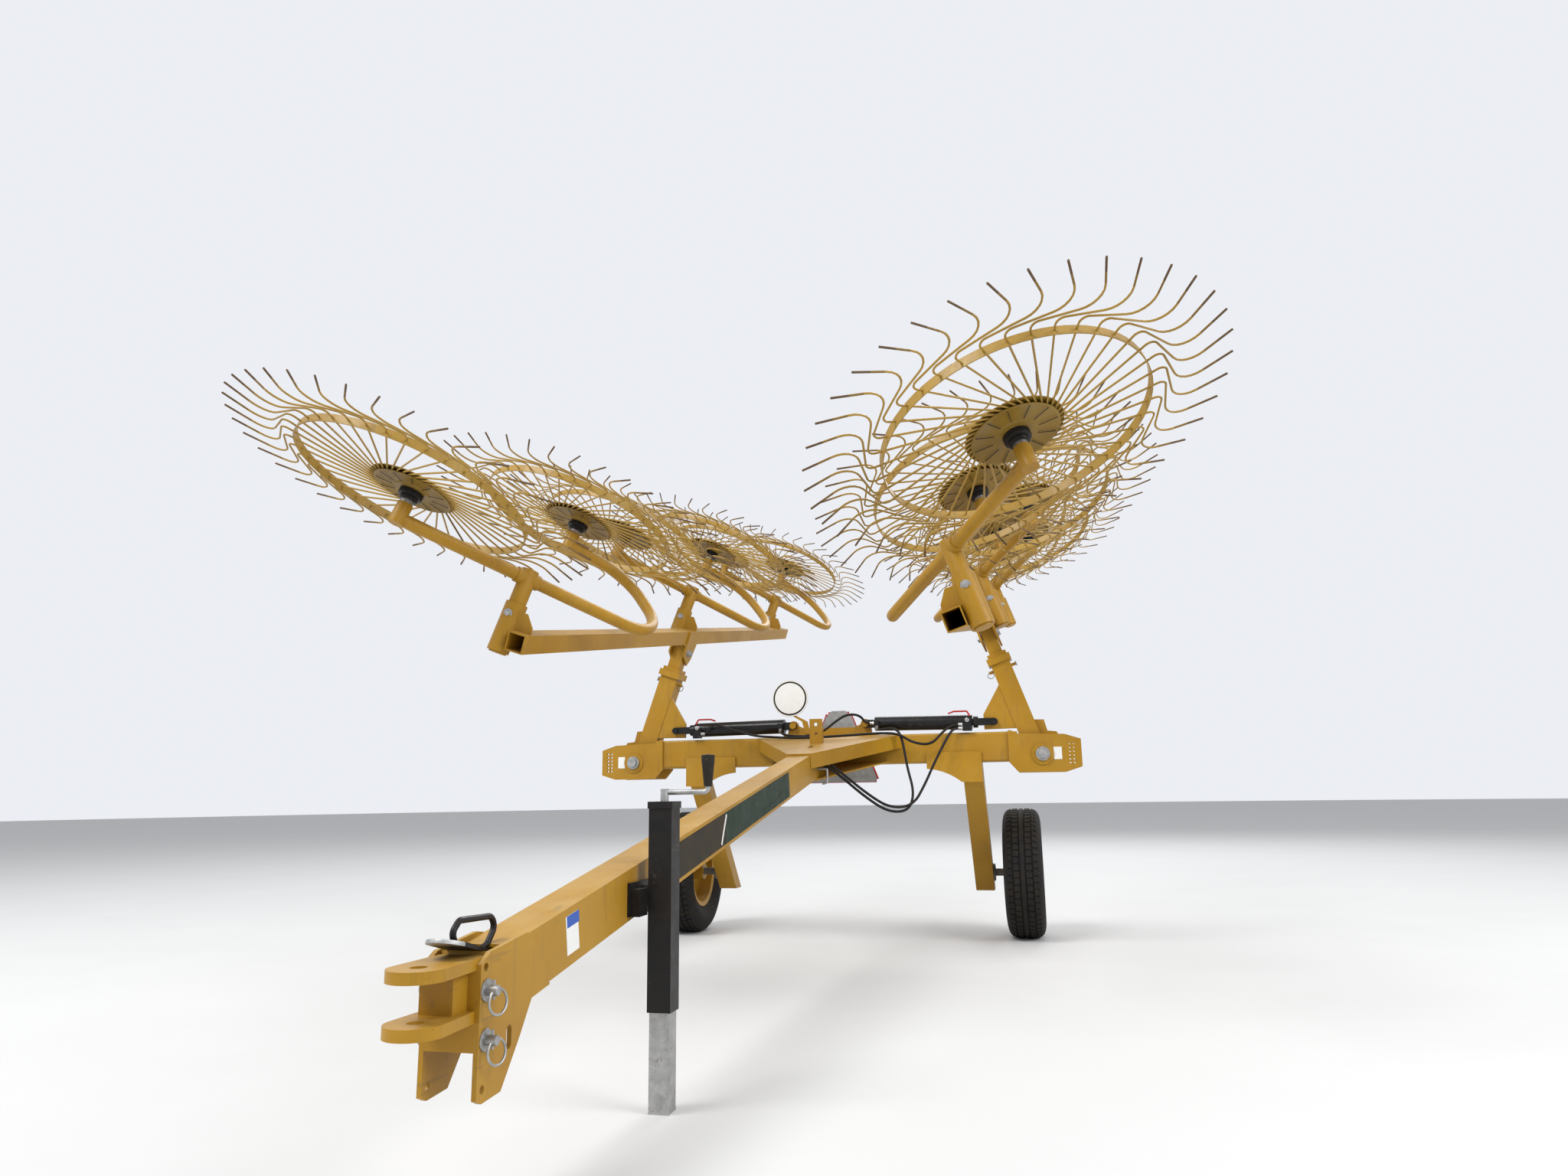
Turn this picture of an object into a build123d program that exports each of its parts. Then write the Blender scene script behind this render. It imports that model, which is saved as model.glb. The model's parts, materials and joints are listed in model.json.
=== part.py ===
from build123d import *
import math
import os

os.makedirs("parts", exist_ok=True)

# Wheel rake folded for the road. Millimetres. The origin is the centre of the hitch clevis bore,
# +Y runs rearward along the machine, +X is to the right when looking along +Y, +Z is up.

# Main lines of the machine
GROUND_Z = -435.0
BEAM_FRONT_Y = 3712.0
BEAM_SIZE = 152.0
BEAM_WALL = 8.0
BEAM_HALF = 985.0
BEAM_BASE_Z = 501.0
BEAM_Y = BEAM_FRONT_Y + BEAM_SIZE / 2
BEAM_REAR_Y = BEAM_FRONT_Y + BEAM_SIZE
BEAM_TOP_Z = BEAM_BASE_Z + BEAM_SIZE

DRAWBAR_WIDE = 104.0
DRAWBAR_HIGH = 127.0
DRAWBAR_WALL = 6.0
DRAWBAR_FRONT_Y = 236.0
DRAWBAR_DROP = 10.0
DRAWBAR_ANGLE = 9.43

PLATE = 10.0
PIVOT_X = 1110.5
PIVOT_Z = 535.0
PIVOT_PIN_R = 22.5
FOLD_CLEAR = 0.1
END_PLATE = 12.0
END_PLATE_IN_X = 942.0

# Ground wheels
AXLE_Y = 4285.0
TYRE_R = 344.5
TYRE_WIDE = 205.0
TRACK_HALF = 970.0
RIM_R = 190.0
AXLE_R = 20.0
AXLE_Z = GROUND_Z + TYRE_R
LEG_TO_TRACK = 218.0
LEG_X = TRACK_HALF - LEG_TO_TRACK
LEG_WIDE = 101.0
LEG_DEEP = 75.0
LEG_LEAN = 42.0
LEG_END_Y = 4315.0
LEG_END_Z = -192.0

# Booms
LEAN = 19.0
FOOT_IN = 25.0
MAST_SIZE = 100.0
MAST_WALL = 6.0
MAST_FOOT = -60.0
MAST_TOP = 541.0
INNER_SIZE = 70.0
INNER_WALL = 5.0
COLLAR_SIZE = 125.0
COLLAR_HIGH = 35.0
HEAD_RISE = 754.0
RAKE_BEAM = 76.0
RAKE_BEAM_WALL = 5.0
RAKE_SLOPE = 8.9
RAKE_FRONT = -1985.0
RAKE_REAR = 2320.0
SOCKET_AT = (-1931.0, 73.0, 2077.0)
SOCKET_R = 44.0
POST_R = 35.0
RUN_FIT = 0.05
POST_RISE = 247.0
ARM_R = 25.5
STUB_R = 25.0
HUB_RISE = 135.0

# Fold cylinders
CYL_Y = 3750.0
ANCHOR_X = 198.0
ANCHOR_Z = 715.0
LUG_X = -235.0
LUG_Z = 172.0
LUG_PLATE = 18.0
BARREL_R = 38.0
ROD_R = 18.0
THROAT = 84.0
TINE_IN = 11.0
TINE_OUT = 28.0
NOSE_R = 18.0
CLEVIS_PIN_R = 12.4

# Raking wheels
WHEEL_TIP_R = 700.0
WHEEL_RIM_R = 444.0
WHEEL_BAND = 40.0
HUB_PLATE_R = 175.0

# Jack
JACK_X = 116.0
JACK_Y = 932.0
JACK_SIZE = 64.0
JACK_LEG = 54.0
JACK_FIT = 0.05
JACK_BASE_Z = -192.0
JACK_TOP_Z = 333.0

HOSE_R = 6.5

sin_lean = math.sin(math.radians(LEAN))
cos_lean = math.cos(math.radians(LEAN))
bar_tan = math.tan(math.radians(DRAWBAR_ANGLE))
bar_cos = math.cos(math.radians(DRAWBAR_ANGLE))
bar_sin = math.sin(math.radians(DRAWBAR_ANGLE))
BAR_HALF = DRAWBAR_WIDE / 2


def across(y):
    """A sketch plane that stands across the machine at the given y, x to the right and y up."""
    return Plane(origin=(0, y, 0), x_dir=(1, 0, 0), z_dir=(0, -1, 0))


def bar_top(y):
    """Height of the drawbar's upper face at the given y."""
    return BEAM_TOP_Z - DRAWBAR_DROP - (BEAM_FRONT_Y - y) * bar_tan


def bar_bottom(y):
    """Height of the drawbar's lower face at the given y."""
    return bar_top(y) - DRAWBAR_HIGH / bar_cos


def save(piece, name):
    """Name a finished piece and write its file."""
    piece.label = name
    export_step(piece, f"parts/{name}.step")


# Drawbar
with BuildPart() as drawbar:
    with BuildSketch(Plane.YZ):
        with BuildLine():
            Polyline(
                (DRAWBAR_FRONT_Y, bar_bottom(DRAWBAR_FRONT_Y)),
                (DRAWBAR_FRONT_Y, bar_top(DRAWBAR_FRONT_Y)),
                (BEAM_FRONT_Y, bar_top(BEAM_FRONT_Y)),
                (BEAM_FRONT_Y, bar_bottom(BEAM_FRONT_Y)),
                close=True,
            )
        make_face()
    extrude(amount=BAR_HALF, both=True)
    with BuildSketch(Plane.YZ):
        with BuildLine():
            Polyline(
                (DRAWBAR_FRONT_Y - 1, bar_bottom(DRAWBAR_FRONT_Y - 1) + DRAWBAR_WALL),
                (DRAWBAR_FRONT_Y - 1, bar_top(DRAWBAR_FRONT_Y - 1) - DRAWBAR_WALL),
                (BEAM_FRONT_Y + 1, bar_top(BEAM_FRONT_Y + 1) - DRAWBAR_WALL),
                (BEAM_FRONT_Y + 1, bar_bottom(BEAM_FRONT_Y + 1) + DRAWBAR_WALL),
                close=True,
            )
        make_face()
    extrude(amount=BAR_HALF - DRAWBAR_WALL, both=True, mode=Mode.SUBTRACT)
save(drawbar.part, "drawbar")

# Hitch plates, one on each side of the drawbar's nose
PLATE_OUTLINE = [  # y, z
    (110, -193),
    (110, 47),
    (144, 66),
    (286, 83),
    (313, 79),
    (395, -36),
    (315, -49),
    (270, -112),
    (200, -198),
    (129, -202),
]
CLEVIS_PINS = [(132, -2), (134, -91)]  # y, z
CLEVIS_PIN = 10.0
with BuildPart() as hitch_plates:
    with BuildSketch(Plane.YZ.offset(BAR_HALF)):
        with BuildLine():
            Polyline(*PLATE_OUTLINE, close=True)
        make_face()
        with Locations(*CLEVIS_PINS):
            Circle(CLEVIS_PIN, mode=Mode.SUBTRACT)
        with Locations((128, 40), (130, -177)):
            Circle(8, mode=Mode.SUBTRACT)
        with Locations((225, -105)):
            SlotOverall(45, 20, rotation=90, mode=Mode.SUBTRACT)
    extrude(amount=PLATE)
    mirror(about=Plane.YZ)
save(hitch_plates.part, "hitch_plates")

# Hitch clevis, cast, bolted between the plates
BORE_R = 16.0
EAR_TOP = 58.0
EAR_IN = 36.0
EAR_R = 57.0
CLEVIS_BACK_Y = 148.0
with BuildPart() as hitch_clevis:
    with BuildSketch(Plane.XY.offset(-EAR_TOP)):
        Circle(EAR_R)
        with BuildLine():
            Polyline(
                (-EAR_R, 0),
                (-BAR_HALF, 106),
                (-BAR_HALF, CLEVIS_BACK_Y),
                (BAR_HALF, CLEVIS_BACK_Y),
                (BAR_HALF, 106),
                (EAR_R, 0),
                close=True,
            )
        make_face()
    extrude(amount=2 * EAR_TOP)
    with BuildSketch(Plane.XY.offset(-EAR_IN)):
        with Locations((0, -20)):
            Rectangle(4 * EAR_R, 160)
    extrude(amount=2 * EAR_IN, mode=Mode.SUBTRACT)
    with BuildSketch(Plane.XY.offset(-EAR_IN)):
        with Locations((-80, 84), (80, 84)):
            Rectangle(90, 52)
    extrude(amount=2 * EAR_IN, mode=Mode.SUBTRACT)
    with BuildSketch(Plane.XY.offset(-110)):
        with Locations((0, 129)):
            Rectangle(DRAWBAR_WIDE, 2 * (CLEVIS_BACK_Y - 129))
    extrude(amount=110 - EAR_TOP)
    with BuildSketch(Plane.XY.offset(-EAR_TOP)):
        Circle(BORE_R)
    extrude(amount=2 * EAR_TOP, mode=Mode.SUBTRACT)
    with BuildSketch(Plane.YZ.offset(-BAR_HALF)):
        with Locations(*CLEVIS_PINS):
            Circle(CLEVIS_PIN)
    extrude(amount=DRAWBAR_WIDE, mode=Mode.SUBTRACT)
save(hitch_clevis.part, "hitch_clevis")

with BuildPart() as clevis_pins:
    with BuildSketch(Plane.YZ.offset(-BAR_HALF - PLATE - 8)):
        with Locations(*CLEVIS_PINS):
            Circle(CLEVIS_PIN)
    extrude(amount=DRAWBAR_WIDE + 2 * PLATE + 8 + 24)
    with BuildSketch(Plane.YZ.offset(-BAR_HALF - PLATE - 8)):
        with Locations(*CLEVIS_PINS):
            Circle(15)
    extrude(amount=8)
save(clevis_pins.part, "clevis_pins")

# Hitch pin, stowed on its shelf between the plates
PIN_TILT = 15.3
PIN_AT = (0, 190, 54.7)
PIN_SHANK_R = 15.0
SHELF = 8.0
pin_plane = Plane(
    origin=PIN_AT,
    x_dir=(1, 0, 0),
    z_dir=(0, math.sin(math.radians(PIN_TILT)), math.cos(math.radians(PIN_TILT))),
)
with BuildPart() as pin_shelf:
    with BuildSketch(pin_plane.offset(-SHELF)):
        with Locations((0, -7)):
            Rectangle(DRAWBAR_WIDE, 62)
        Circle(PIN_SHANK_R, mode=Mode.SUBTRACT)
    extrude(amount=SHELF)
save(pin_shelf.part, "pin_shelf")

with BuildPart() as hitch_pin:
    with BuildSketch(pin_plane):
        with Locations((0, -54)):
            SlotOverall(182, 78, rotation=90)
    extrude(amount=SHELF)
    with BuildSketch(pin_plane.offset(-96)):
        Circle(PIN_SHANK_R)
    extrude(amount=96)
    with BuildLine(Plane.YZ) as loop_line:
        FilletPolyline(
            (116, 82),
            (104, 108),
            (150, 118),
            (264, 108),
            (264, 92),
            (226, 70),
            (212, 56),
            radius=5,
        )
    with BuildSketch(Plane(origin=loop_line.line @ 0, z_dir=loop_line.line % 0)):
        Circle(5)
    sweep(path=loop_line.line)
save(hitch_pin.part, "hitch_pin")

# Cross beam and its gussets
with BuildPart() as cross_beam:
    with BuildSketch(Plane.YZ):
        with Locations((BEAM_Y, BEAM_BASE_Z + BEAM_SIZE / 2)):
            RectangleRounded(BEAM_SIZE, BEAM_SIZE, 12)
            RectangleRounded(
                BEAM_SIZE - 2 * BEAM_WALL, BEAM_SIZE - 2 * BEAM_WALL, 4, mode=Mode.SUBTRACT
            )
    extrude(amount=BEAM_HALF, both=True)
save(cross_beam.part, "cross_beam")

TOP_RUN = 702.0
TOP_FRONT_HALF = 56.0
TOP_REAR_HALF = 395.0
FLANGE_DROP = 60.0
top_plane = Plane(
    origin=(0, BEAM_FRONT_Y, bar_top(BEAM_FRONT_Y)),
    x_dir=(1, 0, 0),
    z_dir=(0, -bar_sin, bar_cos),
)
top_long = TOP_RUN / bar_cos
top_grow = (TOP_REAR_HALF - TOP_FRONT_HALF) / top_long
with BuildPart() as gusset_top:
    with BuildSketch(top_plane.offset(-FLANGE_DROP)):
        with BuildLine():
            Polyline(
                (-TOP_FRONT_HALF, -top_long),
                (TOP_FRONT_HALF, -top_long),
                (TOP_REAR_HALF + 30 * top_grow, 30),
                (-TOP_REAR_HALF - 30 * top_grow, 30),
                close=True,
            )
        make_face()
    extrude(amount=FLANGE_DROP + PLATE)
    with BuildSketch(top_plane.offset(-FLANGE_DROP)):
        with BuildLine():
            Polyline(
                (-TOP_FRONT_HALF + PLATE + 2 * top_grow, -top_long - 2),
                (TOP_FRONT_HALF - PLATE - 2 * top_grow, -top_long - 2),
                (TOP_REAR_HALF + 32 * top_grow - PLATE, 32),
                (-TOP_REAR_HALF - 32 * top_grow + PLATE, 32),
                close=True,
            )
        make_face()
        with Locations((0, -top_long / 2)):
            Rectangle(DRAWBAR_WIDE, top_long + 80)
    extrude(amount=FLANGE_DROP, mode=Mode.SUBTRACT)
    with BuildSketch(top_plane):
        with Locations((0, -0.37 * top_long), (0, -0.63 * top_long)):
            SlotOverall(86, 18, rotation=90)
    extrude(amount=PLATE, mode=Mode.SUBTRACT)
    with BuildSketch(across(BEAM_FRONT_Y)):
        with Locations((0, BEAM_TOP_Z - 50)):
            Rectangle(3 * TOP_REAR_HALF, 6 * FLANGE_DROP)
    extrude(amount=-100, mode=Mode.SUBTRACT)
save(gusset_top.part, "gusset_top")

LOW_RUN = 562.0
LOW_REAR_HALF = 320.0
LOW_PLATE = 8.0
low_plane = Plane(
    origin=(0, BEAM_FRONT_Y, bar_bottom(BEAM_FRONT_Y)),
    x_dir=(1, 0, 0),
    z_dir=(0, -bar_sin, bar_cos),
)
low_long = LOW_RUN / bar_cos
with BuildPart() as gusset_bottom:
    with BuildSketch(low_plane.offset(-LOW_PLATE)):
        with BuildLine():
            Polyline(
                (-BAR_HALF, -low_long),
                (BAR_HALF, -low_long),
                (LOW_REAR_HALF, 8),
                (-LOW_REAR_HALF, 8),
                close=True,
            )
        make_face()
    extrude(amount=LOW_PLATE)
    with BuildSketch(across(BEAM_FRONT_Y)):
        with Locations((0, bar_bottom(BEAM_FRONT_Y))):
            Rectangle(3 * LOW_REAR_HALF, 100)
    extrude(amount=-40, mode=Mode.SUBTRACT)
save(gusset_bottom.part, "gusset_bottom")

# Anchor of both fold cylinders, on top of the beam
EAR_HALF = 10.0
PIN_HEAD = 6.0
with BuildPart() as cylinder_anchor:
    with BuildSketch(Plane.XY.offset(BEAM_TOP_Z)):
        with Locations((0, BEAM_Y)):
            Rectangle(2 * ANCHOR_X + 110, BEAM_SIZE - 24)
    extrude(amount=PLATE)
    with BuildSketch(across(CYL_Y + EAR_HALF)):
        with BuildLine():
            Polyline(
                (-ANCHOR_X - 34, BEAM_TOP_Z + PLATE),
                (-ANCHOR_X - 26, ANCHOR_Z),
                (-ANCHOR_X + 26, ANCHOR_Z),
                (-ANCHOR_X + 60, ANCHOR_Z - 16),
                (ANCHOR_X - 60, ANCHOR_Z - 16),
                (ANCHOR_X - 26, ANCHOR_Z),
                (ANCHOR_X + 26, ANCHOR_Z),
                (ANCHOR_X + 34, BEAM_TOP_Z + PLATE),
                close=True,
            )
        make_face()
        with Locations((-ANCHOR_X, ANCHOR_Z), (ANCHOR_X, ANCHOR_Z)):
            Circle(26)
    extrude(amount=2 * EAR_HALF)
    with BuildSketch(across(CYL_Y + TINE_OUT + 1 + PIN_HEAD)):
        with Locations((-ANCHOR_X, ANCHOR_Z), (ANCHOR_X, ANCHOR_Z)):
            Circle(CLEVIS_PIN_R)
    extrude(amount=2 * (TINE_OUT + 1 + PIN_HEAD))
    with BuildSketch(across(CYL_Y - TINE_OUT - 1)):
        with Locations((-ANCHOR_X, ANCHOR_Z), (ANCHOR_X, ANCHOR_Z)):
            Circle(18)
    extrude(amount=PIN_HEAD)
    with BuildSketch(across(CYL_Y + TINE_OUT + 1 + PIN_HEAD)):
        with Locations((-ANCHOR_X, ANCHOR_Z), (ANCHOR_X, ANCHOR_Z)):
            Circle(18)
    extrude(amount=PIN_HEAD)
save(cylinder_anchor.part, "cylinder_anchor")

# Hose bracket on the top gusset
BRACKET_Y = BEAM_FRONT_Y - 320.0
BRACKET_HALF = 32.0
BRACKET_TOP_Z = 725.0
with BuildPart() as hose_bracket:
    with BuildSketch(Plane.YZ):
        with BuildLine():
            Polyline(
                (BRACKET_Y, bar_top(BRACKET_Y) + PLATE / bar_cos),
                (BRACKET_Y, BRACKET_TOP_Z),
                (BRACKET_Y + 14, BRACKET_TOP_Z),
                (BRACKET_Y + 40, BRACKET_TOP_Z - 70),
                (BRACKET_Y + 40, bar_top(BRACKET_Y + 40) + PLATE / bar_cos),
                close=True,
            )
        make_face()
    extrude(amount=BRACKET_HALF, both=True)
    with BuildSketch(Plane.XY.offset(BRACKET_TOP_Z - 200)):
        with Locations((0, BRACKET_Y + 36)):
            Rectangle(2 * BRACKET_HALF - 12, 60)
    extrude(amount=260, mode=Mode.SUBTRACT)
    with BuildSketch(across(BRACKET_Y)):
        with Locations((0, BRACKET_TOP_Z - 28), (0, BRACKET_TOP_Z - 70)):
            Circle(9)
    extrude(amount=-8, mode=Mode.SUBTRACT)
save(hose_bracket.part, "hose_bracket")

# Round speed sign and the triangular plate at the back
SIGN_X = -215.0
SIGN_Z = 865.0
SIGN_R = 100.0
with BuildPart() as speed_disc:
    with BuildSketch(across(CYL_Y - EAR_HALF)):
        with BuildLine():
            Polyline(
                (-104, ANCHOR_Z - 44),
                (-134, ANCHOR_Z - 44),
                (-150, ANCHOR_Z + 22),
                (SIGN_X - 15, SIGN_Z - SIGN_R + 20),
                (SIGN_X - 15, SIGN_Z + 40),
                (SIGN_X + 15, SIGN_Z + 40),
                (SIGN_X + 15, SIGN_Z - SIGN_R + 14),
                (-120, ANCHOR_Z + 22),
                close=True,
            )
        make_face()
    extrude(amount=5)
    with BuildSketch(across(CYL_Y - EAR_HALF - 5)):
        with Locations((SIGN_X, SIGN_Z)):
            Circle(SIGN_R)
    extrude(amount=3)
save(speed_disc.part, "speed_disc")

SLOW_Y = 4010.0
SLOW_BASE_Z = 412.0
SLOW_TOP_Z = 810.0
with BuildPart() as slow_plate:
    with BuildSketch(across(SLOW_Y)):
        with BuildLine():
            Polyline(
                (-210, SLOW_BASE_Z + 16),
                (-194, SLOW_BASE_Z),
                (194, SLOW_BASE_Z),
                (210, SLOW_BASE_Z + 16),
                (76, SLOW_TOP_Z - 36),
                (40, SLOW_TOP_Z),
                (-40, SLOW_TOP_Z),
                (-76, SLOW_TOP_Z - 36),
                close=True,
            )
        make_face()
    extrude(amount=-4)
    with BuildSketch(across(SLOW_Y)):
        with Locations((0, BEAM_BASE_Z + 90)):
            Rectangle(60, 240)
    extrude(amount=8)
    with BuildSketch(across(SLOW_Y - 8)):
        with Locations((0, BEAM_BASE_Z + 76)):
            Rectangle(60, 12)
    extrude(amount=SLOW_Y - 8 - BEAM_REAR_Y)
save(slow_plate.part, "slow_plate")

# End plates with the fold pivots
END_OUTLINE = [  # x from the pivot, z from the pivot
    (END_PLATE_IN_X - PIVOT_X, 124),
    (-148, 120),
    (-120, 105),
    (110, 97),
    (190, 71),
    (190, -66),
    (110, -91),
    (-125, -90),
    (END_PLATE_IN_X - PIVOT_X, -40),
]
STOP_COLUMNS = [135, 155]
STOP_PITCH = 19.0
stop_holes = [
    (PIVOT_X + x, PIVOT_Z - 45 + STOP_PITCH * k) for x in STOP_COLUMNS for k in range(6)
]
end_pts = [(PIVOT_X + x, PIVOT_Z + z) for x, z in END_OUTLINE]
with BuildPart() as end_plates:
    with BuildSketch(across(BEAM_FRONT_Y)):
        with BuildLine():
            Polyline(*end_pts, close=True)
        make_face()
        with Locations(*stop_holes):
            Circle(6, mode=Mode.SUBTRACT)
    extrude(amount=END_PLATE)
    with BuildSketch(across(BEAM_FRONT_Y - END_PLATE)):
        with Locations((PIVOT_X, PIVOT_Z)):
            Circle(55)
    extrude(amount=6)
    with BuildSketch(across(BEAM_REAR_Y)):
        with BuildLine():
            Polyline(*end_pts, close=True)
        make_face()
        with Locations(*stop_holes):
            Circle(6, mode=Mode.SUBTRACT)
    extrude(amount=-END_PLATE)
    with BuildSketch(across(BEAM_REAR_Y + END_PLATE)):
        with Locations((PIVOT_X, PIVOT_Z)):
            Circle(55)
    extrude(amount=-6)
    with BuildSketch(across(BEAM_FRONT_Y - 40)):
        with Locations((PIVOT_X, PIVOT_Z)):
            Circle(PIVOT_PIN_R)
    extrude(amount=-BEAM_SIZE - 80, mode=Mode.SUBTRACT)
    mirror(about=Plane.YZ)
save(end_plates.part, "end_plates")

pin_face = BEAM_FRONT_Y - END_PLATE - 6
pin_back = BEAM_REAR_Y + END_PLATE + 6
with BuildPart() as pivot_pins:
    with BuildSketch(across(pin_back + 22)):
        with Locations((PIVOT_X, PIVOT_Z)):
            Circle(PIVOT_PIN_R)
    extrude(amount=pin_back - pin_face + 44)
    with BuildSketch(across(pin_face)):
        with Locations((PIVOT_X, PIVOT_Z)):
            Circle(35)
    extrude(amount=10)
    with BuildSketch(across(pin_back + 10)):
        with Locations((PIVOT_X, PIVOT_Z)):
            Circle(35)
    extrude(amount=10)
    mirror(about=Plane.YZ)
save(pivot_pins.part, "pivot_pins")

# Legs down to the ground wheels
leg_tan = math.tan(math.radians(LEG_LEAN))
leg_level = LEG_DEEP / math.cos(math.radians(LEG_LEAN))
leg_wall = 6.0


def leg_front(z):
    """Where the leg's front face is at the given height."""
    return LEG_END_Y - (z - LEG_END_Z) * leg_tan


SADDLE = 12.0
SADDLE_TOP_Z = 555.0
with BuildPart() as legs:
    with BuildSketch(Plane.YZ.offset(LEG_X - LEG_WIDE / 2)):
        with BuildLine():
            Polyline(
                (leg_front(LEG_END_Z), LEG_END_Z),
                (leg_front(LEG_END_Z) + leg_level, LEG_END_Z),
                (leg_front(BEAM_BASE_Z) + leg_level, BEAM_BASE_Z),
                (BEAM_FRONT_Y - SADDLE, BEAM_BASE_Z),
                (
                    BEAM_FRONT_Y - SADDLE,
                    LEG_END_Z + (LEG_END_Y - BEAM_FRONT_Y + SADDLE) / leg_tan,
                ),
                close=True,
            )
        make_face()
    extrude(amount=LEG_WIDE)
    with BuildSketch(Plane.YZ.offset(LEG_X - LEG_WIDE / 2 + leg_wall)):
        with BuildLine():
            Polyline(
                (leg_front(LEG_END_Z - 1) + 9, LEG_END_Z - 1),
                (leg_front(LEG_END_Z - 1) + leg_level - 9, LEG_END_Z - 1),
                (leg_front(BEAM_BASE_Z - 20) + leg_level - 9, BEAM_BASE_Z - 20),
                (leg_front(BEAM_BASE_Z - 20) + 9, BEAM_BASE_Z - 20),
                close=True,
            )
        make_face()
    extrude(amount=LEG_WIDE - 2 * leg_wall, mode=Mode.SUBTRACT)
    with BuildSketch(across(BEAM_FRONT_Y)):
        with BuildLine():
            Polyline(
                (LEG_X - LEG_WIDE / 2 - 4, 400),
                (LEG_X + LEG_WIDE / 2, 400),
                (LEG_X + LEG_WIDE / 2, SADDLE_TOP_Z),
                (LEG_X - 232, SADDLE_TOP_Z),
                (LEG_X - 232, 470),
            )
            ThreePointArc((LEG_X - 232, 470), (LEG_X - 118, 440), (LEG_X - LEG_WIDE / 2 - 4, 400))
        make_face()
    extrude(amount=SADDLE)
    mirror(about=Plane.YZ)
save(legs.part, "legs")

with BuildPart() as axles:
    with BuildSketch(Plane.YZ.offset(LEG_X + LEG_WIDE / 2)):
        with Locations((AXLE_Y, AXLE_Z)):
            Circle(46)
    extrude(amount=12)
    with BuildSketch(Plane.YZ.offset(LEG_X + LEG_WIDE / 2)):
        with Locations((AXLE_Y, AXLE_Z)):
            Circle(AXLE_R)
    extrude(amount=TRACK_HALF + 30 - LEG_X - LEG_WIDE / 2)
    mirror(about=Plane.YZ)
save(axles.part, "axles")

# Ground wheels: radius from the axle, x from the middle of the tyre
RIM_HALF = 78.0
DISC_X = 12.0
HUB_R = 46.0
rim_profile = [  # radius, x
    (AXLE_R + RUN_FIT, -80),
    (HUB_R, -80),
    (HUB_R, DISC_X),
    (RIM_R - 14, DISC_X - 8),
    (RIM_R - 14, -RIM_HALF + 8),
    (RIM_R + 10, -RIM_HALF + 2),
    (RIM_R + 10, -RIM_HALF + 8),
    (RIM_R, -RIM_HALF + 8),
    (RIM_R, RIM_HALF - 8),
    (RIM_R + 10, RIM_HALF - 8),
    (RIM_R + 10, RIM_HALF - 2),
    (RIM_R - 14, RIM_HALF - 8),
    (RIM_R - 14, DISC_X),
    (HUB_R, DISC_X + 8),
    (34, DISC_X + 8),
    (34, 62),
    (0, 62),
    (0, 31),
    (AXLE_R + RUN_FIT, 31),
]
tyre_profile = [  # radius, x
    (RIM_R, -RIM_HALF + 8),
    (RIM_R + 10, -RIM_HALF + 8),
    (RIM_R + 24, -RIM_HALF),
    (RIM_R + 78, -TYRE_WIDE / 2),
    (TYRE_R - 34, -TYRE_WIDE / 2 + 8),
    (TYRE_R - 8, -TYRE_WIDE / 2 + 26),
    (TYRE_R, -TYRE_WIDE / 2 + 44),
    (TYRE_R, TYRE_WIDE / 2 - 44),
    (TYRE_R - 8, TYRE_WIDE / 2 - 26),
    (TYRE_R - 34, TYRE_WIDE / 2 - 8),
    (RIM_R + 78, TYRE_WIDE / 2),
    (RIM_R + 24, RIM_HALF),
    (RIM_R + 10, RIM_HALF - 8),
    (RIM_R, RIM_HALF - 8),
]
for side, name in ((1, "right"), (-1, "left")):
    turned = Plane(origin=(side * TRACK_HALF, AXLE_Y, AXLE_Z), x_dir=(0, 1, 0), z_dir=(0, 0, side))
    axle_line = Axis((side * TRACK_HALF, AXLE_Y, AXLE_Z), (1, 0, 0))
    with BuildPart() as rim:
        with BuildSketch(turned):
            with BuildLine():
                Polyline(*[(r, -x) for r, x in rim_profile], close=True)
            make_face()
        revolve(axis=axle_line)
    save(rim.part, f"wheel_rim_{name}")
    with BuildPart() as tyre:
        with BuildSketch(turned):
            with BuildLine():
                Polyline(*[(r, -x) for r, x in tyre_profile], close=True)
            make_face()
        revolve(axis=axle_line)
    save(tyre.part, f"tyre_{name}")

# Jack on the right side of the drawbar
with BuildPart() as jack_mount:
    with BuildSketch(Plane.YZ.offset(BAR_HALF)):
        with Locations((JACK_Y - 20, 92)):
            Rectangle(150, 84)
    extrude(amount=8)
    with BuildSketch(Plane.YZ.offset(BAR_HALF + 8)):
        with Locations((JACK_Y, 92)):
            Circle(30)
        with Locations((JACK_Y - 62, 84)):
            Rectangle(56, 68)
    extrude(amount=JACK_X - JACK_SIZE / 2 - BAR_HALF - 8)
save(jack_mount.part, "jack_mount")

with BuildPart() as jack_outer:
    with BuildSketch(Plane.XY.offset(JACK_BASE_Z)):
        with Locations((JACK_X, JACK_Y)):
            Rectangle(JACK_SIZE, JACK_SIZE)
            Rectangle(JACK_LEG + 2 * JACK_FIT, JACK_LEG + 2 * JACK_FIT, mode=Mode.SUBTRACT)
    extrude(amount=JACK_TOP_Z - JACK_BASE_Z)
    with BuildSketch(Plane.XY.offset(JACK_TOP_Z - 12)):
        with Locations((JACK_X, JACK_Y)):
            Rectangle(JACK_SIZE + 6, JACK_SIZE + 6)
    extrude(amount=18)
save(jack_outer.part, "jack_outer")

with BuildPart() as jack_inner:
    with BuildSketch(Plane.XY.offset(GROUND_Z)):
        with Locations((JACK_X, JACK_Y)):
            Rectangle(JACK_LEG, JACK_LEG)
    extrude(amount=JACK_BASE_Z - GROUND_Z + 240)
save(jack_inner.part, "jack_inner")

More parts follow.
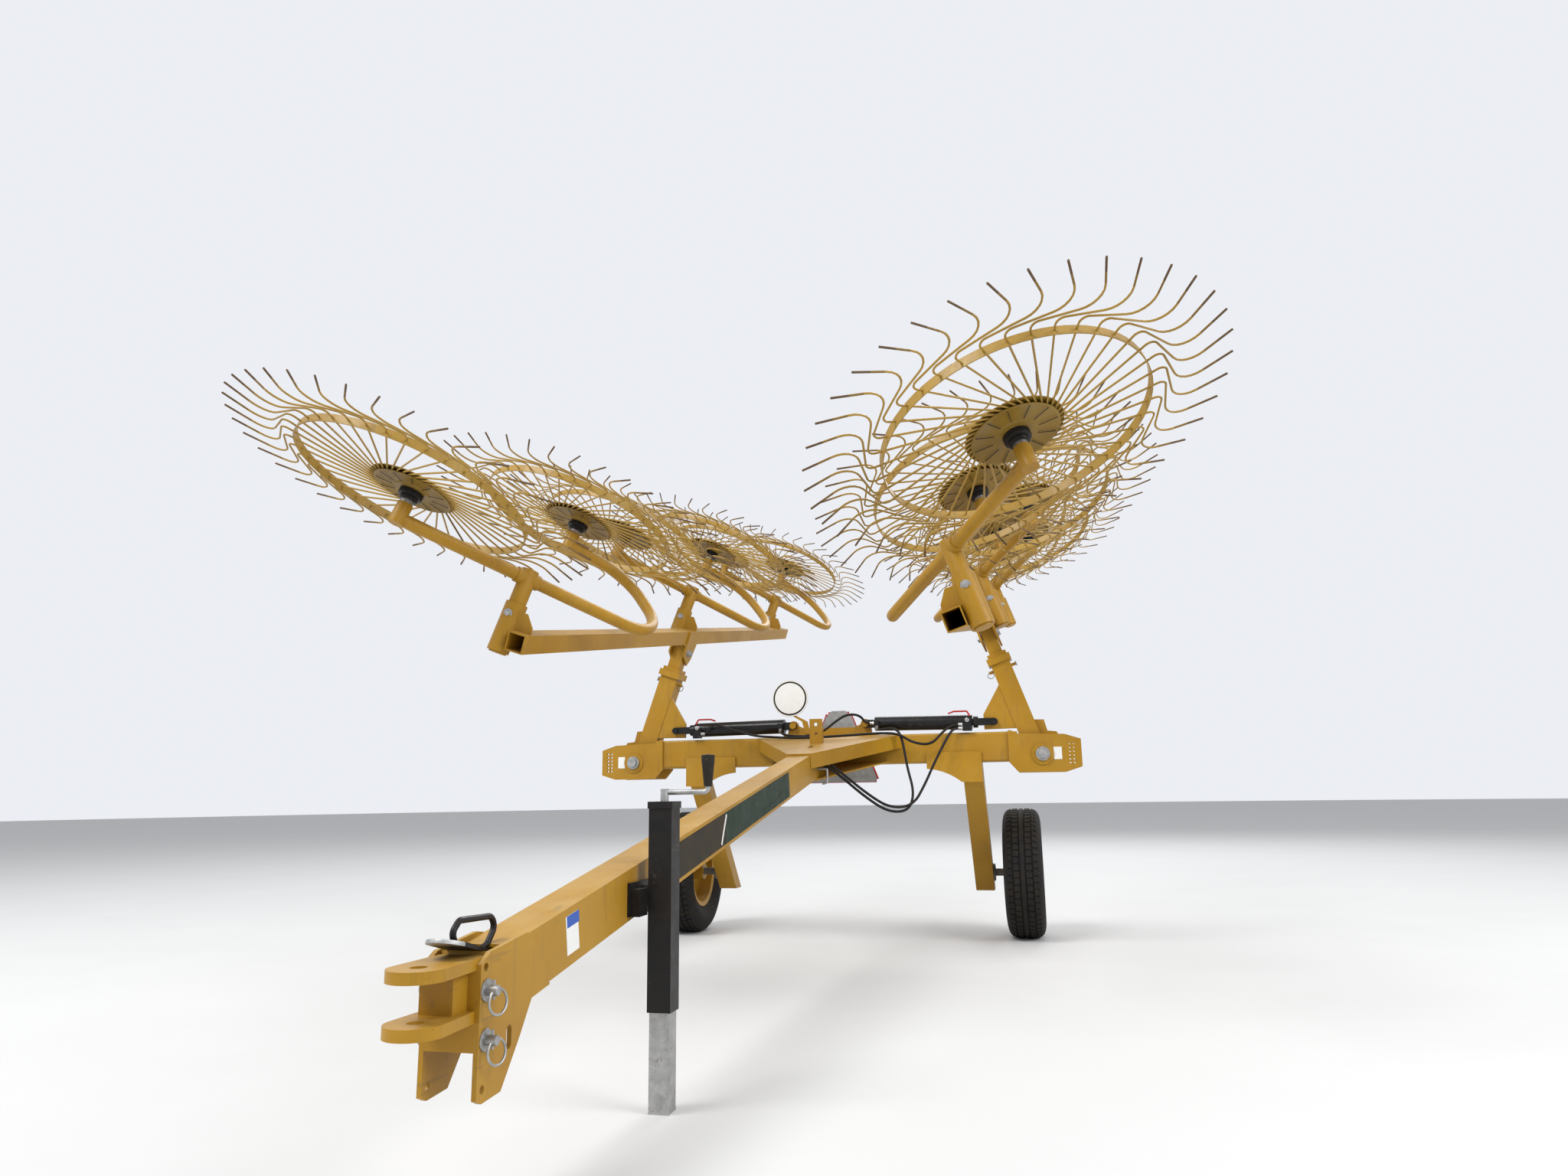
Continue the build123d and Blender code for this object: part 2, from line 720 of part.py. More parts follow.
CRANK_Z = JACK_TOP_Z + 30
CRANK_X = 233.0
CRANK_Y = 950.0
with BuildPart() as jack_crank:
    with BuildSketch(Plane.XY.offset(JACK_TOP_Z + 6)):
        with Locations((JACK_X, JACK_Y)):
            Circle(11)
    extrude(amount=CRANK_Z - JACK_TOP_Z + 3)
    with BuildLine() as crank_line:
        FilletPolyline(
            (JACK_X, JACK_Y, CRANK_Z),
            (CRANK_X, CRANK_Y, CRANK_Z),
            (CRANK_X, CRANK_Y, CRANK_Z + 88),
            radius=12,
        )
    with BuildSketch(Plane(origin=crank_line.line @ 0, z_dir=crank_line.line % 0)):
        Circle(7)
    sweep(path=crank_line.line)
save(jack_crank.part, "jack_crank")

with BuildPart() as jack_grip:
    with BuildSketch(Plane(origin=(CRANK_X, CRANK_Y, 0), x_dir=(1, 0, 0), z_dir=(0, -1, 0))):
        with BuildLine():
            Polyline(
                (7, CRANK_Z + 14),
                (11, CRANK_Z + 14),
                (18, CRANK_Z + 84),
                (18, CRANK_Z + 97),
                (0, CRANK_Z + 100),
                (0, CRANK_Z + 88),
                (7, CRANK_Z + 88),
                close=True,
            )
        make_face()
    revolve(axis=Axis((CRANK_X, CRANK_Y, 0), (0, 0, 1)))
save(jack_grip.part, "jack_grip")

# Hook for the hoses at the drawbar's side
with BuildPart() as hose_hook:
    with BuildLine() as hook_line:
        FilletPolyline(
            (BAR_HALF, 3180, 470),
            (98, 3180, 470),
            (98, 3180, 404),
            (74, 3180, 398),
            radius=10,
        )
    with BuildSketch(Plane(origin=hook_line.line @ 0, z_dir=hook_line.line % 0)):
        Circle(6)
    sweep(path=hook_line.line)
save(hose_hook.part, "hose_hook")

# Hoses: straight runs joined by tangent arcs
HOSES = {  # x, y, z along each hose
    "hose_main_inner": [
        (BAR_HALF, 3196, 490),
        (84, 3196, 490),
        (150, 3236, 436),
        (262, 3305, 330),
        (360, 3380, 258),
        (450, 3460, 262),
        (470, 3540, 350),
        (430, 3600, 480),
        (412, 3625, 600),
        (385, 3645, 676),
        (320, 3684, 684),
        (264, 3702, 676),
        (264, 3702, 700.6),
    ],
    "hose_main_outer": [
        (BAR_HALF, 3196, 512),
        (86, 3196, 512),
        (156, 3226, 452),
        (268, 3292, 350),
        (366, 3376, 278),
        (470, 3470, 286),
        (520, 3590, 392),
        (560, 3620, 482),
        (616, 3640, 590),
        (660, 3678, 668),
        (686, 3698, 674),
        (714.6, 3698, 674),
    ],
    "hose_cross_outer": [
        (-714.6, 3700, 684),
        (-676, 3700, 684),
        (-640, 3690, 744),
        (-590, 3680, 720),
        (-490, 3658, 690),
        (-385, 3640, 660),
        (-290, 3618, 652),
        (-184, 3575, 642),
        (-59, 3545, 638),
        (186, 3552, 648),
        (310, 3594, 656),
        (392, 3612, 650),
        (458, 3632, 604),
        (552, 3658, 590),
        (612, 3690, 660),
        (660, 3702, 694),
        (714.6, 3702, 694),
    ],
    "hose_cross_inner": [
        (-264, 3702, 700.6),
        (-264, 3702, 676),
        (-215, 3664, 660),
        (-128, 3620, 650),
        (-52, 3602, 654),
        (0, 3612, 678),
        (52, 3640, 724),
        (110, 3664, 764),
        (176, 3694, 760),
        (206, 3704, 714),
        (250.4, 3704, 714),
    ],
}
for name, points in HOSES.items():
    pts = [Vector(*p) for p in points]
    with BuildPart() as hose:
        with BuildLine() as run:
            start = pts[0]
            for before, corner, after in zip(pts, pts[1:], pts[2:]):
                way_in = (corner - before).normalized()
                way_out = (after - corner).normalized()
                reach = 0.45 * min((corner - before).length, (after - corner).length)
                bend_in = corner - way_in * reach
                bend_out = corner + way_out * reach
                Line(start, bend_in)
                TangentArc(bend_in, bend_out, tangent=way_in)
                start = bend_out
            Line(start, pts[-1])
        with BuildSketch(Plane(origin=run.line @ 0, z_dir=run.line % 0)):
            Circle(HOSE_R)
        sweep(path=run.line)
    save(hose.part, name)

# Booms: the right one is drawn, the left one is its mirror image
foot = Vector(PIVOT_X - FOOT_IN, BEAM_Y, PIVOT_Z)
out_dir = Vector(cos_lean, 0, sin_lean)
rise_dir = Vector(-sin_lean, 0, cos_lean)
mast_across = Plane(origin=foot, x_dir=out_dir, z_dir=rise_dir)
mast_face = Plane(origin=foot, x_dir=out_dir, z_dir=(0, -1, 0))
head = foot + rise_dir * HEAD_RISE
along = Vector(0, math.cos(math.radians(RAKE_SLOPE)), math.sin(math.radians(RAKE_SLOPE)))
side_dir = (out_dir - along * out_dir.dot(along)).normalized()
beam_plane = Plane(origin=head, x_dir=side_dir, z_dir=along)
bracket_plane = Plane(origin=head, x_dir=rise_dir.cross(side_dir), z_dir=side_dir)


def from_pivot(x, z):
    """Turn a point given from the fold pivot into the mast's own outward and rising lengths."""
    x = x + FOOT_IN
    return (x * cos_lean + z * sin_lean, -x * sin_lean + z * cos_lean)


LOCK_RISE = 478.0
LOCK_R = 8.0
with BuildPart() as mast_outer:
    with BuildSketch(mast_across.offset(MAST_FOOT)):
        Rectangle(MAST_SIZE, MAST_SIZE)
        Rectangle(MAST_SIZE - 2 * MAST_WALL, MAST_SIZE - 2 * MAST_WALL, mode=Mode.SUBTRACT)
    extrude(amount=MAST_TOP - MAST_FOOT)
    with BuildSketch(mast_across.offset(MAST_TOP - COLLAR_HIGH)):
        Rectangle(COLLAR_SIZE, COLLAR_SIZE)
        Rectangle(INNER_SIZE, INNER_SIZE, mode=Mode.SUBTRACT)
    extrude(amount=COLLAR_HIGH)
    with BuildSketch(mast_face.offset(8)):
        with BuildLine():
            Polyline(
                from_pivot(105, -20),
                from_pivot(60, -50),
                from_pivot(-52, -50),
                from_pivot(-60, 0),
                from_pivot(-80, 180),
                from_pivot(15, 178),
                from_pivot(30, 120),
                from_pivot(75, 115),
                from_pivot(105, 60),
                close=True,
            )
        make_face()
    extrude(amount=-16)
    with BuildSketch(mast_face.offset(BEAM_Y - CYL_Y + LUG_PLATE / 2)):
        with BuildLine():
            Polyline((-50, 400), (-50, 160), (-205, 211), (-182, 285))
            ThreePointArc((-182, 285), (-93, 362), (-50, 400))
        make_face()
        with Locations(from_pivot(LUG_X, LUG_Z)):
            Circle(13, mode=Mode.SUBTRACT)
    extrude(amount=-LUG_PLATE)
    with BuildSketch(mast_face.offset(BEAM_SIZE / 2 - 2)):
        with Locations(from_pivot(0, 0)):
            Circle(40)
    extrude(amount=-BEAM_SIZE + 4)
    with BuildSketch(mast_face.offset(BEAM_SIZE / 2)):
        with Locations(from_pivot(0, 0)):
            Circle(PIVOT_PIN_R + FOLD_CLEAR)
    extrude(amount=-BEAM_SIZE, mode=Mode.SUBTRACT)
    with BuildSketch(Plane(origin=foot + rise_dir * LOCK_RISE, z_dir=out_dir)):
        Circle(LOCK_R)
    extrude(amount=MAST_SIZE, both=True, mode=Mode.SUBTRACT)
save(mast_outer.part, "mast_outer_right")
save(mast_outer.part.mirror(Plane.YZ), "mast_outer_left")

BOLT_DROP = -89.0
with BuildPart() as mast_inner:
    with BuildSketch(mast_across.offset(330)):
        Rectangle(INNER_SIZE, INNER_SIZE)
        Rectangle(INNER_SIZE - 2 * INNER_WALL, INNER_SIZE - 2 * INNER_WALL, mode=Mode.SUBTRACT)
    extrude(amount=HEAD_RISE - RAKE_BEAM / 2 - 12 - 330)
    with BuildSketch(mast_across.offset(MAST_TOP)):
        Rectangle(COLLAR_SIZE - 24, COLLAR_SIZE - 24)
    extrude(amount=20)
    with BuildSketch(Plane(origin=foot + rise_dir * LOCK_RISE, z_dir=out_dir)):
        Circle(LOCK_R)
    extrude(amount=MAST_SIZE / 2 + 24, both=True)
    with BuildSketch(bracket_plane):
        with Locations((-20, BOLT_DROP), (20, BOLT_DROP)):
            Circle(8)
    extrude(amount=INNER_SIZE, both=True, mode=Mode.SUBTRACT)
save(mast_inner.part, "mast_inner_right")
save(mast_inner.part.mirror(Plane.YZ), "mast_inner_left")

with BuildPart() as beam_bracket:
    with BuildSketch(bracket_plane.offset(RAKE_BEAM / 2)):
        with BuildLine():
            Polyline(
                (-70, 30),
                (24, 42),
                (24, -94),
                (70, -104),
                (62, -126),
                (34, -160),
                (-70, -110),
                close=True,
            )
        make_face()
    extrude(amount=PLATE)
    with BuildSketch(bracket_plane.offset(-RAKE_BEAM / 2)):
        with BuildLine():
            Polyline((-70, 30), (90, 50), (96, -20), (75, -114), (34, -160), (-70, -110), close=True)
        make_face()
    extrude(amount=-PLATE)
    with BuildSketch(bracket_plane):
        with Locations((-20, BOLT_DROP), (20, BOLT_DROP)):
            Circle(8)
    extrude(amount=RAKE_BEAM / 2 + PLATE + 12, both=True)
save(beam_bracket.part, "beam_bracket_right")
save(beam_bracket.part.mirror(Plane.YZ), "beam_bracket_left")

socket_dir = Vector(-0.325, 0.10, 0.940).normalized()
socket_feet = [head + along * t + side_dir * (RAKE_BEAM / 2 + SOCKET_R) for t in SOCKET_AT]
SOCKET_LOW = -62.0
SOCKET_HIGH = 140.0
with BuildPart() as rake_beam:
    with BuildSketch(beam_plane.offset(RAKE_FRONT)):
        Rectangle(RAKE_BEAM, RAKE_BEAM)
        Rectangle(
            RAKE_BEAM - 2 * RAKE_BEAM_WALL, RAKE_BEAM - 2 * RAKE_BEAM_WALL, mode=Mode.SUBTRACT
        )
    extrude(amount=RAKE_REAR - RAKE_FRONT)
    for at in socket_feet:
        with BuildSketch(Plane(origin=at + socket_dir * SOCKET_LOW, z_dir=socket_dir)):
            Circle(SOCKET_R)
            Circle(POST_R, mode=Mode.SUBTRACT)
        extrude(amount=SOCKET_HIGH - SOCKET_LOW)
        with BuildSketch(Plane(origin=at - along * 4, x_dir=side_dir, z_dir=along)):
            with BuildLine():
                Polyline(
                    (-SOCKET_R + 2, RAKE_BEAM / 2 - 2),
                    (-SOCKET_R + 2, SOCKET_HIGH - 20),
                    (-SOCKET_R - 10, SOCKET_HIGH - 20),
                    (-SOCKET_R - 62, RAKE_BEAM / 2 - 2),
                    close=True,
                )
            make_face()
        extrude(amount=8)
save(rake_beam.part, "rake_beam_right")
save(rake_beam.part.mirror(Plane.YZ), "rake_beam_left")

# Walking arms: each post carries a bar with a raking wheel on both ends
arm_dir = Vector(-0.506, 0.819, -0.271).normalized()
arm_norm = Vector(0.7011, 0.2073, -0.6827).normalized()
wheel_up = Vector(-0.282, 0.262, 0.923).normalized()
ARM_START = (-557.0, 8.0)
ARM_END = (340.0, 550.0)
tees = [at + socket_dir * POST_RISE for at in socket_feet]
with BuildPart() as rake_arms:
    for at, tee in zip(socket_feet, tees):
        arm_plane = Plane(origin=tee, x_dir=arm_dir, z_dir=arm_norm)
        with BuildSketch(Plane(origin=at + socket_dir * (SOCKET_LOW - 6), z_dir=socket_dir)):
            Circle(POST_R)
        extrude(amount=POST_RISE + 38 - SOCKET_LOW + 6)
        with BuildLine(arm_plane) as bar_line:
            FilletPolyline(ARM_START, (760, -11), (660, 520), ARM_END, radius=150)
        with BuildSketch(Plane(origin=bar_line.line @ 0, z_dir=bar_line.line % 0)):
            Circle(ARM_R)
        sweep(path=bar_line.line)
        with BuildSketch(Plane(origin=tee - arm_dir * 62, z_dir=arm_dir)):
            Circle(ARM_R + 12)
        extrude(amount=124)
        for end in (ARM_START, ARM_END):
            with BuildSketch(Plane(origin=arm_plane.from_local_coords(end), z_dir=wheel_up)):
                Circle(STUB_R)
            extrude(amount=HUB_RISE + 4)
save(rake_arms.part, "rake_arms_right")
save(rake_arms.part.mirror(Plane.YZ), "rake_arms_left")

# Raking wheels, drawn flat and then set on their stubs
with BuildPart() as rake_wheel:
    with BuildSketch(Plane.XY.offset(-60)):
        Circle(45)
    extrude(amount=50)
    with BuildSketch(Plane.XY.offset(-10)):
        Circle(HUB_PLATE_R)
    extrude(amount=6)
    with BuildSketch(Plane.XY.offset(-10)):
        with PolarLocations((HUB_PLATE_R + WHEEL_RIM_R) / 2, 8):
            Rectangle(WHEEL_RIM_R - HUB_PLATE_R + 8, 24)
    extrude(amount=6)
    with BuildSketch(Plane.XY.offset(-WHEEL_BAND / 2)):
        Circle(WHEEL_RIM_R)
        Circle(WHEEL_RIM_R - 4, mode=Mode.SUBTRACT)
    extrude(amount=WHEEL_BAND)
    with BuildSketch(Plane.XY.offset(-2)):
        Circle(WHEEL_TIP_R)
        Circle(WHEEL_RIM_R - 2, mode=Mode.SUBTRACT)
    extrude(amount=4)
    with BuildSketch(Plane.XY.offset(-60)):
        Circle(STUB_R + RUN_FIT)
    extrude(amount=60, mode=Mode.SUBTRACT)
number = 0
for tee in tees:
    arm_plane = Plane(origin=tee, x_dir=arm_dir, z_dir=arm_norm)
    for end in (ARM_START, ARM_END):
        number += 1
        centre = arm_plane.from_local_coords(end) + wheel_up * HUB_RISE
        placed = rake_wheel.part.moved(Plane(origin=centre, z_dir=wheel_up).location)
        save(placed, f"rake_wheel_right_{number}")
        save(placed.mirror(Plane.YZ), f"rake_wheel_left_{number}")

# Fold cylinders: the right one is drawn, the left one is its mirror image
root_pin = Vector(ANCHOR_X, CYL_Y, ANCHOR_Z)
eye = Vector(PIVOT_X + LUG_X, CYL_Y, PIVOT_Z + LUG_Z)
push_dir = (eye - root_pin).normalized()
push_up = Vector(-push_dir.Z, 0, push_dir.X)
cyl_across = Plane(origin=root_pin, x_dir=(0, 1, 0), z_dir=push_dir)
cyl_face = Plane(origin=root_pin, x_dir=push_dir, z_dir=(0, -1, 0))
pin_to_pin = (eye - root_pin).length
BARREL_START = 52.0
BRIDGE = 24.0
barrel_end = pin_to_pin - THROAT - BRIDGE - 5
with BuildPart() as barrel:
    with BuildSketch(cyl_across.offset(BARREL_START)):
        Circle(BARREL_R)
    extrude(amount=barrel_end - BARREL_START)
    with BuildSketch(cyl_across.offset(BARREL_START + 20)):
        Circle(ROD_R + RUN_FIT)
    extrude(amount=barrel_end, mode=Mode.SUBTRACT)
    for near in (TINE_IN + 1, -TINE_OUT):
        with BuildSketch(cyl_face.offset(near)):
            Circle(20)
            with Locations((BARREL_START / 2, 0)):
                Rectangle(BARREL_START, 40)
            Circle(CLEVIS_PIN_R + FOLD_CLEAR, mode=Mode.SUBTRACT)
        extrude(amount=TINE_OUT - TINE_IN - 1)
    with BuildSketch(cyl_face.offset(BARREL_R - 6)):
        with Locations((BARREL_START + 14, 0)):
            Rectangle(26, 26)
        with Locations((barrel_end - 24, -26)):
            Rectangle(46, 44)
    extrude(amount=28)
save(barrel.part, "barrel_right")
save(barrel.part.mirror(Plane.YZ), "barrel_left")

with BuildPart() as rod:
    with BuildSketch(cyl_across.offset(BARREL_START + 24)):
        Circle(ROD_R)
    extrude(amount=pin_to_pin - THROAT - BRIDGE - BARREL_START - 24)
    with BuildSketch(cyl_across.offset(pin_to_pin - THROAT - BRIDGE)):
        Circle(30)
    extrude(amount=BRIDGE)
    for near in (TINE_IN, -TINE_OUT):
        with BuildSketch(cyl_face.offset(near)):
            with Locations((pin_to_pin, 0)):
                Circle(NOSE_R)
            with Locations((pin_to_pin - THROAT / 2 - 4, 0)):
                Rectangle(THROAT + 8, 2 * NOSE_R)
        extrude(amount=TINE_OUT - TINE_IN)
    with BuildSketch(cyl_face.offset(TINE_OUT)):
        with Locations((pin_to_pin, 0)):
            Circle(16)
    extrude(amount=8)
    with BuildSketch(cyl_face.offset(-TINE_OUT - 8)):
        with Locations((pin_to_pin, 0)):
            Circle(16)
    extrude(amount=8)
save(rod.part, "rod_right")
save(rod.part.mirror(Plane.YZ), "rod_left")
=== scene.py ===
# %% [markdown]
# # A wheel rake, folded for the road
#
# This is a hay rake on two tyres: a long sloping drawbar, a cross beam, and two booms that lean
# over the middle with six raking wheels each. The rigid shapes come from the CAD frame. Blender
# adds what a maker adds last: paint, dust, rubber, tines, treads, nuts, hoses and labels.

import json
import math

import bmesh
import bpy
from mathutils import Matrix, Vector


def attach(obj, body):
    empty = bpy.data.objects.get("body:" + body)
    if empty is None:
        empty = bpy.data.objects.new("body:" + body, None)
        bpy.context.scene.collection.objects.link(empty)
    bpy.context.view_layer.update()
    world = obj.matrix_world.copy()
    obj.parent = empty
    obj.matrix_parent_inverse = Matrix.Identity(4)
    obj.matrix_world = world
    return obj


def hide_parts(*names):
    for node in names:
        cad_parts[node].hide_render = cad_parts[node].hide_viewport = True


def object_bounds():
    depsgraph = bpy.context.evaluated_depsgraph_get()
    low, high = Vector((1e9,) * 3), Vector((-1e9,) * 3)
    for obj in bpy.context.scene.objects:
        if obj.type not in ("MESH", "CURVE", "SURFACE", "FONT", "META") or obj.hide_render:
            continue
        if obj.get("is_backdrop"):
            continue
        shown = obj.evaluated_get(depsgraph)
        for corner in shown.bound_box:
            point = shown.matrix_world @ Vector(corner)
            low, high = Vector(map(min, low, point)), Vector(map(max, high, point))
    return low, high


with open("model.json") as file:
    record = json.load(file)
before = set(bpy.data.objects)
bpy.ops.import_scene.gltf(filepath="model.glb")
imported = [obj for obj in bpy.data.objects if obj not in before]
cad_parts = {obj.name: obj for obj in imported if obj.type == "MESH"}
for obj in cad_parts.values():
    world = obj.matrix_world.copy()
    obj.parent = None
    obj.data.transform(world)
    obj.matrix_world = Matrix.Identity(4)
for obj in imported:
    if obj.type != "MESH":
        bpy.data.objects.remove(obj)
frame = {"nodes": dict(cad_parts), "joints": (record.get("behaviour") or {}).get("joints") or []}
cad_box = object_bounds()
print("CAD box", [[round(c, 3) for c in corner] for corner in cad_box])

# %% [markdown]
# ## The camera
#
# The picture was taken from hand height, a little to the right of the hitch, looking up and to
# the left along the folded booms. A camera can be aimed by hand or by a tracking constraint. Here
# its three directions are worked out from a turn, a tilt and a small roll, because those are the
# numbers that a measured view gives.

# %% Camera
CAMERA_AT = Vector((1.1140, -1.7178, 0.3553))
CAMERA_TURN = 0.2434
CAMERA_TILT = 0.1983
CAMERA_ROLL = -0.0146
FOCAL_PIXELS = 1335.49
PHOTO_WIDE = 2048
SENSOR_WIDE = 36.0

ahead = Vector((
    -math.sin(CAMERA_TURN) * math.cos(CAMERA_TILT),
    math.cos(CAMERA_TURN) * math.cos(CAMERA_TILT),
    math.sin(CAMERA_TILT),
))
level = Vector((math.cos(CAMERA_TURN), math.sin(CAMERA_TURN), 0))
upright = level.cross(ahead)
right = level * math.cos(CAMERA_ROLL) + upright * math.sin(CAMERA_ROLL)
upward = upright * math.cos(CAMERA_ROLL) - level * math.sin(CAMERA_ROLL)

camera_data = bpy.data.cameras.new("camera")
camera_data.sensor_width = SENSOR_WIDE
camera_data.lens = SENSOR_WIDE * FOCAL_PIXELS / PHOTO_WIDE
camera_data.clip_start = 0.05
camera_data.clip_end = 200
camera = bpy.data.objects.new("camera", camera_data)
bpy.context.scene.collection.objects.link(camera)
turned = Matrix((right, upward, -ahead)).transposed().to_4x4()
camera.matrix_world = Matrix.Translation(CAMERA_AT) @ turned
bpy.context.scene.camera = camera
bpy.context.scene.view_settings.view_transform = "Standard"
print("lens", round(camera_data.lens, 2), "mm")

# %% [markdown]
# ## Shader sums
#
# Paint, dust and rust are masks that are added, multiplied and mixed. In the node editor each
# step is a Math node. A small class does the same with plain signs: a sum of two sockets adds its
# own Math node, so a mask reads like the sentence that describes it.

# %% Sockets that can be added and multiplied
class Mask:
    """One value socket. Plain signs between masks and numbers add Math nodes."""

    def __init__(self, finish, socket):
        self.finish = finish
        self.socket = socket

    def math(self, operation, *others, first=None):
        values = [self, *others] if first is None else [first, self]
        return self.finish.node("ShaderNodeMath", {"operation": operation}, *values)

    def __add__(self, other):
        return self.math("ADD", other)

    def __radd__(self, other):
        return self.math("ADD", other)

    def __sub__(self, other):
        return self.math("SUBTRACT", other)

    def __rsub__(self, other):
        return self.math("SUBTRACT", first=other)

    def __mul__(self, other):
        return self.math("MULTIPLY", other)

    def __rmul__(self, other):
        return self.math("MULTIPLY", other)

    def clamp(self):
        return self.math("MINIMUM", 1.0).math("MAXIMUM", 0.0)


class Finish:
    """A material on its way: makes nodes and ends in one Principled shader."""

    def __init__(self, name):
        self.material = bpy.data.materials.new(name)
        self.material.use_nodes = True
        self.tree = self.material.node_tree
        self.shader = self.tree.nodes["Principled BSDF"]
        self.place = self.node("ShaderNodeTexCoord", {}, output="Object")

    def node(self, kind, settings, *values, output=0, **named):
        """Adds a node, sets it up, then gives its inputs values or links."""
        made = self.tree.nodes.new(kind)
        for key, value in settings.items():
            setattr(made, key, value)
        for place, value in [*enumerate(values), *named.items()]:
            place = place if isinstance(place, int) else place.replace("_", " ")
            if isinstance(value, Mask):
                self.tree.links.new(value.socket, made.inputs[place])
            else:
                made.inputs[place].default_value = value
        return Mask(self, made.outputs[output])

    def noise(self, scale, detail=4.0, roughness=0.6, distortion=0.0):
        return self.node(
            "ShaderNodeTexNoise", {}, Vector=self.place, Scale=scale, Detail=detail,
            Roughness=roughness, Distortion=distortion, output=0,
        )

    def stretched(self, scale, stretch, detail=3.0):
        """Noise that is drawn out along one axis, for brush marks and scratches."""
        long_way = self.node("ShaderNodeMapping", {}, Vector=self.place, Scale=stretch)
        return self.node("ShaderNodeTexNoise", {}, Vector=long_way, Scale=scale, Detail=detail)

    def ramp(self, mask, low, high):
        """0 below low, 1 above high, straight between them."""
        return self.node(
            "ShaderNodeMapRange", {"clamp": True}, Value=mask, From_Min=low, From_Max=high
        )

    def normal_z(self):
        geometry = self.node("ShaderNodeNewGeometry", {}, output="Normal")
        return self.node("ShaderNodeSeparateXYZ", {}, geometry, output=2)

    def mix(self, amount, under, over):
        """The colour under, with the colour over where amount is 1."""
        made = self.tree.nodes.new("ShaderNodeMix")
        made.data_type = "RGBA"
        for place, value in ((0, amount), (6, under), (7, over)):
            if isinstance(value, Mask):
                self.tree.links.new(value.socket, made.inputs[place])
            else:
                made.inputs[place].default_value = (*value, 1.0) if place else value
        return Mask(self, made.outputs[2])

    def finish(
        self, colour, roughness, metallic=0.0, bump=None, bump_depth=0.001, coat=0.0, specular=0.5,
    ):
        for name, value in (("Base Color", colour), ("Roughness", roughness), ("Metallic", metallic)):
            if isinstance(value, Mask):
                self.tree.links.new(value.socket, self.shader.inputs[name])
            else:
                plain = (*value, 1.0) if name == "Base Color" else value
                self.shader.inputs[name].default_value = plain
        self.shader.inputs["Coat Weight"].default_value = coat
        self.shader.inputs["Specular IOR Level"].default_value = specular
        if bump is not None:
            raised = self.node("ShaderNodeBump", {}, Height=bump, Distance=bump_depth, Strength=0.6)
            self.tree.links.new(raised.socket, self.shader.inputs["Normal"])
        return self.material


# %% [markdown]
# ## Yellow paint that has been out in the weather
#
# The tubes and plates are sprayed in one mustard yellow. A year of sun, dust and rain leaves broad
# cloudy differences in tone, a dusty film, streaks, fine scratches and small brown chips. What faces
# the sky gets more of the pale dust colour, which is painted sunlight on the tops. Each of those is
# one noise mask at its own scale, mixed over the paint in the order in which it happened.

# %% Paint finishes
# Both yellows are darker than the paint itself. This is painted shade for the undersides, which the
# pale floor lights strongly.
SHADED_PAINT_YELLOW = (0.47, 0.255, 0.014)
SHADED_PAINT_DEEP = (0.33, 0.165, 0.008)
DUST_AND_SUNLIGHT = (0.46, 0.34, 0.17)
RUST = (0.16, 0.065, 0.025)
GRIME = (0.10, 0.075, 0.045)


def painted(name, light=SHADED_PAINT_YELLOW, deep=SHADED_PAINT_DEEP, rust=1.0, dust_and_sun=1.0):
    """Sprayed paint with tone changes, dust, painted sunlight on top, scratches and rust chips."""
    paint = Finish(name)
    tone = paint.ramp(paint.noise(2.4, 5), 0.32, 0.72)
    colour = paint.mix(tone * 0.75, deep, light)
    # Painted sunlight: faces that look up get more of the pale dust colour, mottled by the film.
    sunlit_top = paint.ramp(paint.normal_z(), 0.15, 0.85)
    film = paint.ramp(paint.noise(9.0, 6, 0.7), 0.35, 0.8)
    colour = paint.mix((sunlit_top * film * 0.55 + film * 0.10) * dust_and_sun, colour, DUST_AND_SUNLIGHT)
    streaks = paint.ramp(paint.stretched(6.0, (9.0, 9.0, 0.8)), 0.56, 0.75)
    colour = paint.mix(streaks * 0.22, colour, GRIME)
    chips = paint.ramp(paint.noise(85.0, 4, 0.75), 0.69, 0.72)
    patches = paint.ramp(paint.noise(3.1, 3), 0.50, 0.62)
    worn = (chips * patches * rust).clamp()
    colour = paint.mix(worn, colour, RUST)
    scratches = paint.ramp(paint.stretched(60.0, (1.0, 0.06, 1.0), 5), 0.66, 0.70)
    colour = paint.mix(scratches * 0.25, colour, GRIME)
    grain = paint.noise(260.0, 2)
    roughness = (film * 0.22 + 0.36 + worn * 0.3).clamp()
    return paint.finish(
        colour, roughness, bump=grain * 0.35 - worn, bump_depth=0.0006, coat=0.05,
        specular=0.25,
    )


HUB_LIGHT = (0.36, 0.215, 0.026)
HUB_DEEP = (0.17, 0.098, 0.014)
TINE_LIGHT = (0.46, 0.285, 0.050)
TINE_DEEP = (0.28, 0.165, 0.030)

yellow = painted("yellow_paint")
yellow_rim = painted("yellow_rim", rust=0.6, dust_and_sun=1.3)
yellow_cast = painted("yellow_cast", rust=3.5, dust_and_sun=0.7)
wheel_paint = painted("wheel_paint", TINE_LIGHT, TINE_DEEP, rust=1.5, dust_and_sun=0.4)
tine_worn = painted("tine_worn", (0.30, 0.175, 0.03), (0.15, 0.085, 0.02), rust=2.0, dust_and_sun=0.2)
hub_paint = painted("hub_paint", HUB_LIGHT, HUB_DEEP, rust=2.0, dust_and_sun=0.3)
print("paint ready")

# %% [markdown]
# ## Bare and black metal, rubber and plastic
#
# Zinc plating is a dull grey with a faint crystal cloudiness. A casting is darker and lumpy. Enamel,
# black or coloured, only looks like paint when its gloss is broken by dust and finger marks, so here
# the noise feeds the roughness as much as the colour.

